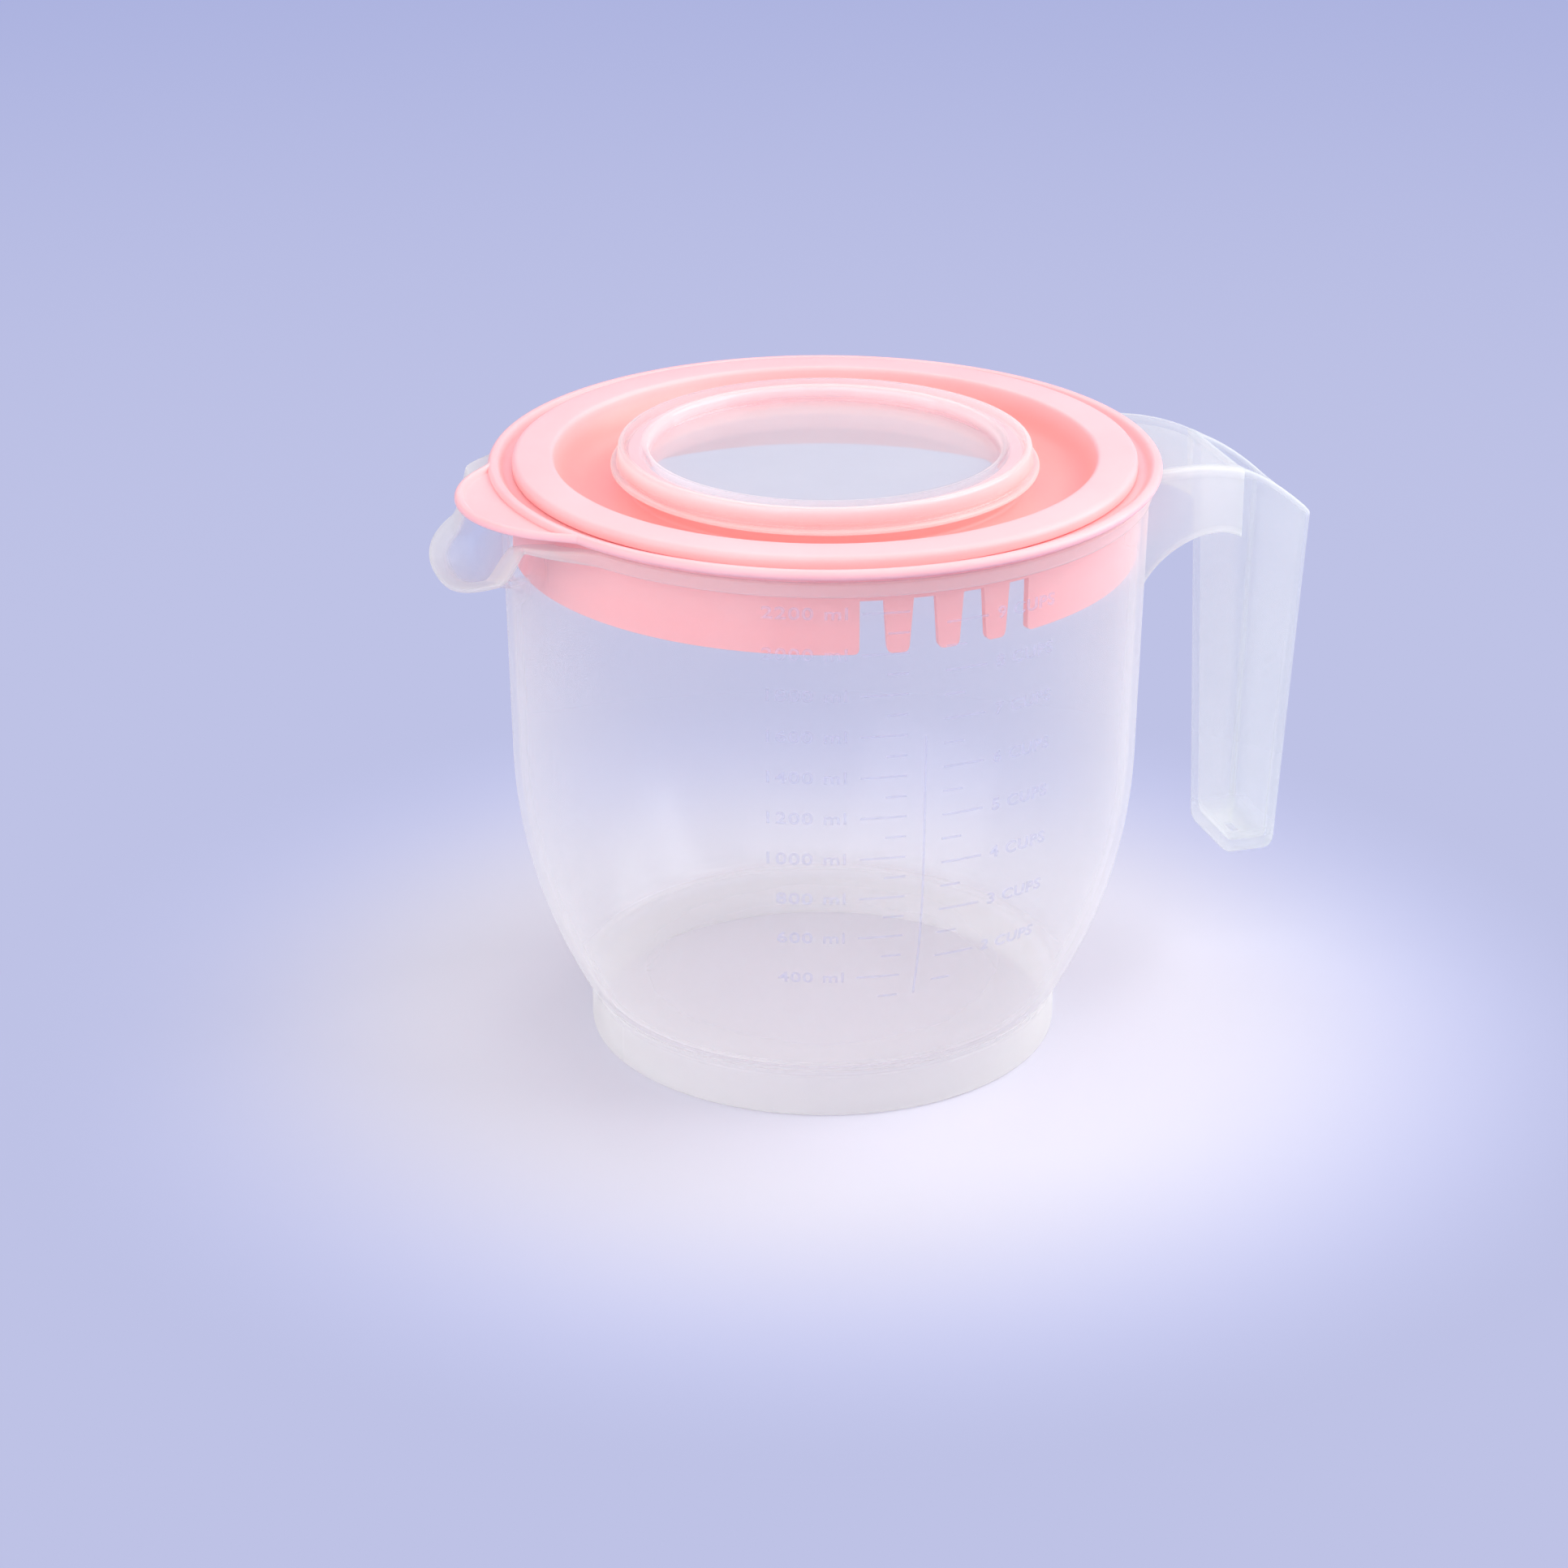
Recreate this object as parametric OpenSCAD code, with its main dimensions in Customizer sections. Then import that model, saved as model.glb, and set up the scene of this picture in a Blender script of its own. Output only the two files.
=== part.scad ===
/* [Bowl] */
// Outer radius of the foot ring
foot_radius = 60; // [58:0.5:62]
// Height of the foot ring, up to the crease under the floor
foot_height = 11.5; // [8:0.5:14]
// Width of the foot ring's wall
foot_wall = 2.4; // [1.6:0.2:4]
// Thickness of the floor
floor_thickness = 1.7; // [1.2:0.1:3]
// Outer radius where the belly ends and the straight wall starts
belly_radius = 78.8; // [78:0.2:79.4]
// Height where the belly ends and the straight wall starts
belly_height = 80; // [70:1:90]
// How full the belly is: 1 is a straight cone
belly_fullness = 2.1; // [1.5:0.1:2.6]
// Outer radius of the wall just under the rim
wall_top_radius = 80; // [79.6:0.1:80.4]
// Thickness of the wall
wall = 1.6; // [1.2:0.1:1.8]
// Outer radius of the rim band
rim_radius = 80.8; // [80.6:0.1:81.4]
// Height of the rim's underside
rim_low = 145.2; // [144:0.1:146]
// Height of the rim's top
rim_top = 148.4; // [148:0.1:148.6]

/* [Spout] */
// Reach of the spout's tip from the jug's axis
spout_reach = 98.8; // [94:0.2:104]
// Half the width of the lip where it leaves the rim
lip_half_width = 32; // [29:0.5:35]
// How far the lip's roots lie behind its tip
lip_setback = 17; // [14:0.5:20]
// Height of the lip at its tip
lip_tip_height = 132.1; // [130:0.1:135]
// Half the width of the opening through the wall
mouth_half_width = 20.5; // [16:0.5:24]
// Height of the lowest point of that opening
mouth_low = 129; // [126:0.5:131]
// Height where the opening's round bottom turns into straight sides
mouth_shoulder = 137; // [136:0.5:140]
// Thickness of the spout's wall
spout_wall = 1.8; // [1.4:0.1:2.4]
// Angle from the spout at which the rim starts to widen towards it
flare_angle = 33; // [32:1:45]

/* [Handle] */
// Distance from the axis to the grip's inner face
grip_inner = 105.6; // [104:0.2:112]
// Distance from the axis to the grip's outer face at the bottom
grip_outer_low = 121.4; // [118:0.2:126]
// Distance from the axis to the grip's outer face at the top
grip_outer_high = 125.5; // [122:0.2:130]
// Half the width of the grip at the bottom
grip_half_low = 12.4; // [10:0.2:15]
// Half the width of the grip at the top
grip_half_high = 15.6; // [13:0.2:17]
// Height of the grip's closed bottom end
grip_bottom = 34.4; // [30:0.2:45]
// Height of the grip's top at its outer face
grip_top = 129; // [124:0.5:134]
// Thickness of the grip's closed bottom
grip_floor = 3.5; // [2:0.5:6]
// Radius of the grip's upright corners
grip_corner = 3.5; // [2.6:0.1:5]
// Height of the strap's top at the jug
strap_top = 147.9; // [147:0.1:148]
// Half the width of the strap at its root in the wall
strap_half_root = 25; // [22:0.5:26]
// Half the width of the strap where it meets the grip
strap_half_end = 17.2; // [15.6:0.1:18]
// Height of the crown of the arch under the strap
arch_top = 129; // [126:0.1:132]
// Radius of that arch
arch_radius = 20.2; // [19.8:0.1:24]
// Distance from the axis to the crown of that arch
arch_centre = 93.7; // [92:0.1:94.4]
// Thickness of the handle's walls
handle_wall = 2; // [1.6:0.1:2.4]

/* [Lid] */
// Outer radius of the lid's edge bead
bead_radius = 83; // [82.4:0.2:84]
// Height of the bead's underside
bead_low = 150; // [149.6:0.1:150.2]
// Height of the bead's top
bead_top = 152.3; // [151.6:0.1:153]
// Height of the shelf at the bottom of the groove
groove_height = 150.3; // [150.1:0.1:150.6]
// Width of the groove round the raised ring
groove_width = 1.6; // [1.2:0.1:1.8]
// Outer radius of the raised ring
dome_radius = 77; // [76.4:0.1:77.4]
// Height of the raised ring's flat top
dome_top = 153.7; // [152.6:0.1:155]
// Radius where the flat top falls away into the trough
trough_radius = 66.8; // [66:0.1:71]
// Depth of the trough, which is also the radius of its outer wall
trough_depth = 8; // [5:0.5:8]
// Outer radius of the centre collar
collar_radius = 48.5; // [48:0.1:48.7]
// Thickness of the collar
collar_wall = 3; // [2.4:0.1:3.2]
// Height of the collar's top
collar_top = 154.4; // [153.8:0.1:154.4]
// Thickness of the lid's walls
lid_wall = 1.7; // [1.2:0.1:2.2]
// Outer radius of the hanging skirt
skirt_radius = 77.3; // [76.6:0.1:77.4]
// Thickness of the skirt
skirt_wall = 1.6; // [1.2:0.1:1.8]
// Height of the skirt's lower edge
skirt_low = 129.8; // [125:0.2:134]
// Angle of the lid from where its tab points straight along the spout
lid_angle = 7.4; // [-20:0.2:20]

/* [Tab] */
// Radius of the tab's round outline
tab_radius = 32; // [28:0.5:36]
// Distance from the axis to the centre of that outline
tab_centre = 63; // [61:0.5:65]
// Height of the tab's flat top
tab_top = 151.2; // [150.9:0.1:151.4]
// Height of the tab's raised edge
tab_edge_top = 152.1; // [151.5:0.1:153]
// Width of that raised edge
tab_edge_width = 2.6; // [1.6:0.1:4]

/* [Strainer] */
// Angle from the tab to the middle of the comb
comb_angle = 87.1; // [80:0.1:100]
// Half the angle of the gap that the comb fills
comb_half_angle = 16; // [15.4:0.1:18]
// Height of the top of the slots
slot_top = 143; // [140:0.5:145]
// Angle from one tooth to the next
tooth_pitch = 9.2; // [8.9:0.1:9.6]
// Width of a tooth at its root
tooth_root = 7; // [6:0.1:7.4]
// Width of a tooth at its end
tooth_end = 5.1; // [4:0.1:6]

/* [Cap] */
// Outer radius of the cap's ring
cap_radius = 50.9; // [50.4:0.1:51.4]
// Outer radius of the cap's lower flange
cap_flange_radius = 52.9; // [52:0.1:54]
// Inner radius of the cap's ring
cap_window_radius = 43.3; // [41:0.1:43.6]
// Height of the ring's top
cap_top = 156.2; // [155.9:0.1:158]
// Height of the sunken panel's top
cap_panel_top = 152.2; // [151.5:0.1:153.5]
// Height of the cap's lower edge
cap_low = 150.1; // [149.4:0.1:150.6]
// Thickness of the cap's walls
cap_wall = 1.5; // [1.2:0.1:1.5]

/* [Hidden] */
$fn = 96;

// Room left between a moving piece and what it lies on
rest_gap = 0.2;
// Room left beside a moving piece
side_gap = 0.3;
// How far a cutting shape runs past what it cuts
overcut = 20;
// How far a piece's root runs into the wall before it is cut back to it
root_depth = 6;
// How far the lip's roots rise into the rim band, and the rim's flare sinks into it
lip_overlap = 0.8;
// How far the flange's shelf runs in past the skirt, and its seat stays in from the rim's edge
shelf_overhang = 1.1;
seat_setback = 1;
// Radius of the raised ring's and of the cap's upper edges
dome_edge = 0.8;
cap_edge = 0.9;
// Thickness of the cap's panel and of its lower flange's edge
cap_panel = 1.2;
cap_flange = 0.9;
// How far the cap's wall spreads towards its flange
cap_draft = 0.4;
// Thickness of the slices that the grip is hulled from
slice = 0.01;
// Room between the cap and the collar that it straddles
cap_gap = 0.5;
// Steps along the belly's curve, and along each rounded edge
belly_steps = 16;
edge_steps = 6;
arc_steps = 12;
// Steps across the spout, and from the wall out to its lip
lip_steps = 36;
tray_steps = 5;
// Share of the lip that stands over the opening's round bottom
tray_share = 0.72;
// How far the tray bulges out between the wall and the lip
tray_bulge = 1.2;
// How steeply the lip climbs, and how squarely its plan turns, towards its roots
lip_climb_power = 5;
lip_plan_power = 3;
// How sharply the handle's top curve falls towards its outer face
handle_fall_power = 2.5;
jug_colour = [0.86, 0.88, 0.95, 0.75];
lid_colour = [0.98, 0.80, 0.82];
cap_colour = [0.88, 0.87, 0.94, 0.75];

rim_inner = wall_top_radius - wall;
floor_top = foot_height + floor_thickness;
lip_rise = rim_low + lip_overlap - lip_tip_height;
mouth_depth = mouth_shoulder - mouth_low;
mouth_round = (pow(mouth_half_width, 2) + pow(mouth_depth, 2)) / (2 * mouth_depth);
lip_root_height = lip_tip_height + lip_rise;
flare_reach = norm([spout_reach - lip_setback, lip_half_width]);
flare_start = atan2(lip_half_width, spout_reach - lip_setback);
flare_end = rim_radius - lip_overlap;
strap_start = belly_radius - root_depth;
arch_base = arch_top - arch_radius;
seat_height = rim_top + rest_gap;
comb_direction = 180 + lid_angle + comb_angle;
collar_inner = collar_radius - collar_wall;

// Outer radius of the bowl at height z
function bowl_radius(z) =
    z < belly_height
        ? foot_radius + (belly_radius - foot_radius)
            * (1 - pow(1 - (z - foot_height) / (belly_height - foot_height), belly_fullness))
        : belly_radius + (wall_top_radius - belly_radius) * (z - belly_height) / (rim_low - belly_height);

// Points on an arc, as radius and height
function arc(centre, radius, from, to, steps) =
    [for (i = [0:steps]) let (a = from + (to - from) * i / steps)
        [centre[0] + radius * cos(a), centre[1] + radius * sin(a)]];

// Points on the bowl's outside, or inset from it, from one height to another
function bowl_curve(from, to, inset) =
    [for (i = [0:belly_steps]) let (z = from + (to - from) * i / belly_steps) [bowl_radius(z) - inset, z]];

// Outline of the straight wall and the rim band on its outside, from low to high
function wall_outside() =
    [[belly_radius, belly_height], [wall_top_radius, rim_low], [rim_radius, rim_low], [rim_radius, rim_top]];

// The space that the bowl takes up, filled
module bowl_envelope() {
    rotate_extrude()
        polygon(concat(
            [[0, foot_height]], bowl_curve(foot_height, belly_height, 0), wall_outside(), [[0, rim_top]]
        ));
}

// The opening in the wall that leads into the spout
module spout_mouth() {
    rotate([90, 0, -90])
        linear_extrude(height = 2 * rim_radius) {
            intersection() {
                translate([0, mouth_low + mouth_round]) circle(r = mouth_round);
                translate([-mouth_half_width, mouth_low])
                    square([2 * mouth_half_width, mouth_shoulder - mouth_low]);
            }
            translate([-mouth_half_width, mouth_shoulder])
                square([2 * mouth_half_width, rim_top + overcut - mouth_shoulder]);
        }
}

module bowl_floor() {
    color(jug_colour)
        rotate_extrude()
            polygon([[0, foot_height], [foot_radius, foot_height],
                     [bowl_radius(floor_top), floor_top], [0, floor_top]]);
}

module bowl_belly() {
    color(jug_colour)
        rotate_extrude()
            polygon(concat(
                bowl_curve(floor_top, belly_height, 0), bowl_curve(belly_height, floor_top, wall)
            ));
}

module bowl_wall() {
    color(jug_colour)
        difference() {
            rotate_extrude()
                polygon(concat(wall_outside(), [[rim_inner, rim_top], [belly_radius - wall, belly_height]]));
            spout_mouth();
        }
}

module foot_ring() {
    color(jug_colour)
        rotate_extrude()
            translate([foot_radius - foot_wall, 0]) square([foot_wall, foot_height]);
}

// Where the tray meets the wall, as width and height, for q from -1 to 1 across the spout
function tray_root(q) =
    abs(q) <= tray_share
        ? let (y = mouth_half_width * q / tray_share)
            [y, mouth_low + mouth_round - sqrt(pow(mouth_round, 2) - y * y)]
        : [mouth_half_width * sign(q),
            mouth_shoulder + (lip_root_height - mouth_shoulder) * (abs(q) - tray_share) / (1 - tray_share)];

// The lip's edge, as reach, width and height
function lip_edge(q) = [
    spout_reach - lip_setback * pow(abs(q), lip_plan_power),
    lip_half_width * q,
    lip_tip_height + lip_rise * pow(abs(q), lip_climb_power)
];

// The way out through the tray's wall, which turns from down at its middle to sideways at its roots
function tray_outward(q) =
    let (lean = 90 * pow(abs(q), 2)) [0, sin(lean) * sign(q), -cos(lean)];

// A point of the tray's upper side, f of the way from the wall to the lip
function tray_point(q, f) =
    let (root = tray_root(q), lip = lip_edge(q), start = wall_top_radius - root_depth)
        [-(start + (lip[0] - start) * f), root[0] + (lip[1] - root[0]) * f, root[1] + (lip[2] - root[1]) * f]
            + tray_bulge * 4 * f * (1 - f) * tray_outward(q);

// The same point on the tray's underside
function tray_under(q, f) = tray_point(q, f) + spout_wall * tray_outward(q);

// One closed section of the tray
function tray_section(q) = concat(
    [for (i = [0:tray_steps]) tray_point(q, i / tray_steps)],
    [for (i = [tray_steps:-1:0]) tray_under(q, i / tray_steps)]
);

// A closed skin over a row of sections that all have the same number of points
module skin(sections) {
    rows = len(sections);
    size = len(sections[0]);
    sides = [for (r = [0:rows - 2], i = [0:size - 1]) let (j = (i + 1) % size)
        each [[r * size + i, r * size + j, (r + 1) * size + j],
              [r * size + i, (r + 1) * size + j, (r + 1) * size + i]]];
    first = [for (i = [size - 1:-1:0]) i];
    last = [for (i = [0:size - 1]) (rows - 1) * size + i];
    polyhedron(points = [for (s = sections) each s], faces = concat(sides, [first, last]));
}

// Half of the widened rim beside the spout
module rim_flare() {
    linear_extrude(height = rim_top - rim_low)
        polygon(concat(
            [[root_depth - wall_top_radius, mouth_half_width]],
            [for (i = [0:arc_steps]) let (
                    share = i / arc_steps,
                    angle = flare_start + (flare_angle - flare_start) * share,
                    reach = flare_end + (flare_reach - flare_end) * (1 + cos(180 * share)) / 2)
                reach * [-cos(angle), sin(angle)]],
            [(rim_radius - root_depth) * [-cos(flare_angle), sin(flare_angle)]]
        ));
}

module pouring_spout() {
    color(jug_colour)
        union() {
            difference() {
                skin([for (i = [0:lip_steps]) tray_section(2 * i / lip_steps - 1)]);
                bowl_envelope();
            }
            difference() {
                translate([0, 0, rim_low]) {
                    rim_flare();
                    mirror([0, 1, 0]) rim_flare();
                }
                cylinder(r = rim_radius, h = 2 * rim_top);
            }
        }
}

// Height of the handle's top at distance x from the axis
function handle_top(x) =
    strap_top - (strap_top - grip_top)
        * pow(max(0, x - belly_radius) / (grip_outer_high - belly_radius), handle_fall_power);

// The space under the handle's top curve, lowered by drop, between two distances from the axis
module under_handle_top(from, to, low, drop) {
    rotate([90, 0, 0])
        linear_extrude(height = 4 * strap_half_root, center = true)
            polygon(concat(
                [[to, low], [from, low]],
                [for (i = [0:arc_steps]) let (x = from + (to - from) * i / arc_steps)
                    [x, handle_top(x) - drop]]
            ));
}

// The strap seen from above, narrowed by inset on each side
module strap_plan(inset) {
    from = strap_start;
    half = [for (i = [0:arc_steps]) let (share = i / arc_steps)
        [from + (grip_inner - from) * share,
         strap_half_end + (strap_half_root - strap_half_end) * (1 - pow(share, 2)) - inset]];
    linear_extrude(height = rim_top)
        polygon(concat(half, [for (i = [arc_steps:-1:0]) [half[i][0], -half[i][1]]]));
}

module handle_strap() {
    color(jug_colour)
        difference() {
            intersection() {
                strap_plan(0);
                under_handle_top(strap_start, grip_inner, arch_base, 0);
            }
            intersection() {
                strap_plan(handle_wall);
                under_handle_top(strap_start, grip_inner, arch_base - overcut, handle_wall);
            }
            translate([arch_centre, 0, arch_base])
                rotate([90, 0, 0]) cylinder(r = arch_radius, h = 4 * strap_half_root, center = true);
            bowl_envelope();
        }
}

// A tapering block with round upright corners, inset on every side
module grip_block(inset, low, high) {
    hull() {
        for (level = [low, high]) {
            share = (level - grip_bottom) / (grip_top - grip_bottom);
            half = grip_half_low + (grip_half_high - grip_half_low) * share - inset;
            outer = grip_outer_low + (grip_outer_high - grip_outer_low) * share - inset;
            radius = grip_corner - inset;
            for (side = [-1, 1])
                for (x = [grip_inner + inset + radius, outer - radius])
                    translate([x, side * (half - radius), level]) cylinder(r = radius, h = slice, $fn = 32);
        }
    }
}

module handle_grip() {
    crown = handle_top(grip_inner) + 1;
    color(jug_colour)
        difference() {
            intersection() {
                grip_block(0, grip_bottom, crown);
                under_handle_top(grip_inner, grip_outer_high + overcut, grip_bottom - 1, 0);
            }
            grip_block(handle_wall, grip_bottom + grip_floor, crown + 1);
        }
}

module lid_dome() {
    trough_floor = dome_top - trough_depth;
    trough_centre = [trough_radius - trough_depth, dome_top];
    under_start = asin(lid_wall / (trough_depth + lid_wall));
    color(lid_colour)
        rotate_extrude()
            polygon(concat(
                [[dome_radius - lid_wall, groove_height + side_gap],
                 [dome_radius, groove_height + side_gap]],
                arc([dome_radius - dome_edge, dome_top - dome_edge], dome_edge, 0, 90, edge_steps),
                arc(trough_centre, trough_depth, 0, -90, arc_steps),
                [[collar_radius, trough_floor], [collar_radius, collar_top],
                 [collar_inner, collar_top], [collar_inner, trough_floor - lid_wall]],
                arc(trough_centre, trough_depth + lid_wall, -90, -under_start, arc_steps),
                [[dome_radius - lid_wall, dome_top - lid_wall]]
            ));
}

module lid_flange() {
    shelf_inner = skirt_radius - skirt_wall - shelf_overhang;
    bead_round = (bead_top - bead_low) / 2;
    bead_middle = [bead_radius - bead_round, bead_low + bead_round];
    bead_inner = bead_radius - 2 * bead_round;
    seat_outer = rim_radius - seat_setback;
    color(lid_colour)
        rotate([0, 0, 180 + lid_angle])
            union() {
                rotate_extrude()
                    polygon(concat(
                        [[shelf_inner, seat_height], [seat_outer, seat_height], [seat_outer, bead_low]],
                        arc(bead_middle, bead_round, -90, 90, edge_steps),
                        [[bead_inner, bead_top], [dome_radius + groove_width, groove_height],
                         [shelf_inner, groove_height]]
                    ));
                difference() {
                    translate([tab_centre, 0, bead_low]) {
                        cylinder(r = tab_radius, h = tab_top - bead_low);
                        difference() {
                            cylinder(r = tab_radius, h = tab_edge_top - bead_low);
                            translate([0, 0, -1])
                                cylinder(r = tab_radius - tab_edge_width, h = overcut);
                        }
                    }
                    cylinder(r = bead_inner, h = 2 * bead_top);
                }
            }
}

// A ring of the skirt's wall between two heights
module skirt_ring(low, high) {
    rotate_extrude()
        translate([skirt_radius - skirt_wall, low]) square([skirt_wall, high - low]);
}

// The unbroken band of the skirt, above the comb
module skirt_band() {
    color(lid_colour) skirt_ring(slot_top, seat_height);
}

// The rest of the skirt, with a gap for the comb
module lid_skirt() {
    reach = 2 * skirt_radius;
    color(lid_colour)
        difference() {
            skirt_ring(skirt_low, slot_top);
            rotate([0, 0, comb_direction])
                linear_extrude(height = 2 * slot_top)
                    polygon([[0, 0], reach * [cos(comb_half_angle), -sin(comb_half_angle)],
                             reach * [cos(comb_half_angle), sin(comb_half_angle)]]);
        }
}

module strainer_teeth() {
    color(lid_colour)
        intersection() {
            skirt_ring(skirt_low, slot_top);
            for (k = [-1:1])
                rotate([0, 0, comb_direction + k * tooth_pitch])
                    rotate([90, 0, 90])
                        linear_extrude(height = 2 * skirt_radius)
                            polygon([[-tooth_end / 2, skirt_low], [tooth_end / 2, skirt_low],
                                     [tooth_root / 2, slot_top], [-tooth_root / 2, slot_top]]);
        }
}

module centre_cap() {
    hood = collar_top + side_gap;
    panel_low = cap_panel_top - cap_panel;
    socket_outer = collar_radius + cap_gap;
    socket_inner = collar_inner - cap_gap;
    color(cap_colour)
        rotate_extrude()
            polygon(concat(
                [[socket_outer, cap_low], [cap_flange_radius, cap_low],
                 [cap_flange_radius, cap_low + cap_flange], [cap_radius + cap_draft, cap_low + cap_wall]],
                arc([cap_radius - cap_edge, cap_top - cap_edge], cap_edge, 0, 90, edge_steps),
                arc([cap_window_radius + cap_edge, cap_top - cap_edge], cap_edge, 90, 180, edge_steps),
                [[cap_window_radius, cap_panel_top], [0, cap_panel_top], [0, panel_low],
                 [socket_inner, panel_low], [socket_inner, hood], [socket_outer, hood]]
            ));
}

foot_ring();
bowl_floor();
bowl_belly();
bowl_wall();
pouring_spout();
handle_strap();
handle_grip();
lid_dome();
lid_flange();
skirt_band();
lid_skirt();
strainer_teeth();
centre_cap();
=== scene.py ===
import math

import bmesh
import bpy
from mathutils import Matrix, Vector


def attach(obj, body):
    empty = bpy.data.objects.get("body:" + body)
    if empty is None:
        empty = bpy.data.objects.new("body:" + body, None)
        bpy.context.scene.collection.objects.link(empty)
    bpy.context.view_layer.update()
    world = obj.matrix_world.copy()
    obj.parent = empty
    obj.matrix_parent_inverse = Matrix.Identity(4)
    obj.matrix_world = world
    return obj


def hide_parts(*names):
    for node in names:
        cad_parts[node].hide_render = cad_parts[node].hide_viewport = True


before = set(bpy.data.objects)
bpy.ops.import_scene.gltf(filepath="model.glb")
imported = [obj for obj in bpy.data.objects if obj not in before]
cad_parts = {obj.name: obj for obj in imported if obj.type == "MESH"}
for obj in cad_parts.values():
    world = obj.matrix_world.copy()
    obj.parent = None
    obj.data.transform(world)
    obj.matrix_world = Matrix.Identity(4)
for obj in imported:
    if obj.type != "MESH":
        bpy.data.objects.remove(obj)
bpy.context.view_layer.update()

# Sizes are in millimetres, in the jug's own frame: spout towards -X, handle towards +X
MM = 0.001

# Bowl
FOOT_RADIUS = 60
FOOT_HEIGHT = 11.5
FOOT_WALL = 2.4
FLOOR_TOP = 13.2
BELLY_RADIUS = 78.8
BELLY_HEIGHT = 80
BELLY_FULLNESS = 2.1
WALL_TOP_RADIUS = 80
WALL = 1.6
RIM_RADIUS = 80.8
RIM_LOW = 145.2
RIM_TOP = 148.4

# Spout: the channel's corner on the wall, and the band between its inner edge and its outer edge, the lip.
# Each edge sweeps back and up on both sides of the middle, and then eases into the rim. A sweep is its change
# at a turn, the power that it grows with, the turn's azimuth, the shelf's azimuth and the change there
LIP_REACH = 98.6
LIP_TOP = 132.1
LIP_BACK = (6.1, 4, 16, 20.8, 9.2)
LIP_UP = (5.1, 2.4, 16, 20.6, 15.6)
LIP_EDGE = 1.1
SHELF_EDGE = 1.4
FLARE_FALL = (19, 33)
BAND_REACH = 95.7
BAND_LOW = 132.3
BAND_BACK = (6.8, 3.5, 12, 17.6, 17.3)
BAND_UP = (2.6, 3, 10.2, 13.6, 12.3)
LIP_ROOT_ANGLE = 20.2
BAND_ROOT_ANGLE = 13.05
MOUTH_HALF = 20.5
MOUTH_LOW = 129
MOUTH_ROUND = 30.3
MOUTH_SHOULDER = 144
SPOUT_WALL = 1.8

# Handle
GRIP_INNER_LOW = 106.2
GRIP_INNER_HIGH = 103.5
GRIP_OUTER_LOW = 121.4
GRIP_OUTER_HIGH = 125.5
GRIP_HALF_LOW = 12.4
GRIP_HALF_HIGH = 15.6
GRIP_BOTTOM = 34.4
GRIP_TOP = 129
GRIP_FLOOR = 2.4
GRIP_CORNER = 3.5
STRAP_TOP = 147.9
STRAP_HALF_ROOT = 25
STRAP_HALF_END = 17.2
STRAP_START = 72.8
STRAP_MEETS = 105.6
ARCH_BASE = 108.8
ARCH_RADIUS = 20.2
ARCH_CENTRE = 93.7
HANDLE_WALL = 2

# Lid
BEAD_RADIUS = 83
BEAD_LOW = 150
BEAD_TOP = 152.3
GROOVE_HEIGHT = 150.3
GROOVE_OUTER = 78.6
SHELF_INNER = 74.6
SEAT_HEIGHT = 148.6
SEAT_OUTER = 79.8
DOME_RADIUS = 77
DOME_LOW = 150.6
DOME_TOP = 153.7
LID_WALL = 1.7
TROUGH_RADIUS = 66.8
TROUGH_DEPTH = 8
COLLAR_RADIUS = 48.5
COLLAR_INNER = 45.5
COLLAR_TOP = 154.4
SKIRT_RADIUS = 77.3
SKIRT_WALL = 1.6
SKIRT_LOW = 129.8
SLOT_TOP = 143
TAB_DIRECTION = 187.4
TAB_RADIUS = 32
TAB_CENTRE = 63
TAB_LOW = 150.2
TAB_TOP = 150.9
TAB_EDGE_TOP = 152.2
TAB_EDGE_WIDTH = 2.6
COMB_DIRECTION = 274.5
COMB_HALF_ANGLE = 16
TOOTH_PITCH = 9.2
TOOTH_ROOT = 7
TOOTH_END = 5.1

# Centre cap
CAP_RADIUS = 50.9
CAP_SPREAD = 51.3
CAP_FLANGE_RADIUS = 52.9
CAP_WINDOW_RADIUS = 43.3
CAP_TOP = 156.2
CAP_PANEL_TOP = 152.2
CAP_PANEL_LOW = 151.0
CAP_LOW = 150.1
CAP_SOCKET_OUTER = 49
CAP_SOCKET_INNER = 45
CAP_HOOD = 154.7
CAP_PANEL_EDGE = 40
CAP_FLAT_INNER = 45.5
CAP_FLAT_OUTER = 49.3

# Moulded scale, on the side a quarter turn from the spout
SCALE_DIRECTION = -90
SCALE_LIFT = 3.4
SCALE_SETTLE = 0.8
SCALE_RELIEF = 0.3
SCALE_SUNK = 0.1
CUP = 236.6
MOST_CUPS = 9
MOST_ML = 2200
LINE_WIDTH = 0.45
LINE_START = 4.5
SHORT_LINE = 5
ML_LINE = 11
CUP_LINE = 10.5
UPRIGHT_MIDDLE = 74
UPRIGHT_WIDTH = 0.5
UPRIGHT_HEIGHT = 70
DIGIT_HEIGHT = 3.0
DIGIT_SHARE = 0.72
DIGIT_WEIGHT = 0.06
DIGIT_SPACING = 1.12
ML_WORDS = -18.5
ML_STRETCH = 1.33
CUP_WORDS = 17.5
CUP_STRETCH = 1.16

# Plastics: how large their uneven patches are, how much the haze varies, and what grows edge on
MOTTLE_SIZE = 26
RIPPLE_SIZE = 7
SHADE_SIZE = 30
GLOSS_SIZE = 12
GRAIN_SIZE = 0.9
MOTTLE = 0.15
EDGE_POWER = 2.2
SHINE_POWER = 5.0
SHINE_FACING = 0.035
SHINE_GRAZING = 0.7


# Looks


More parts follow.
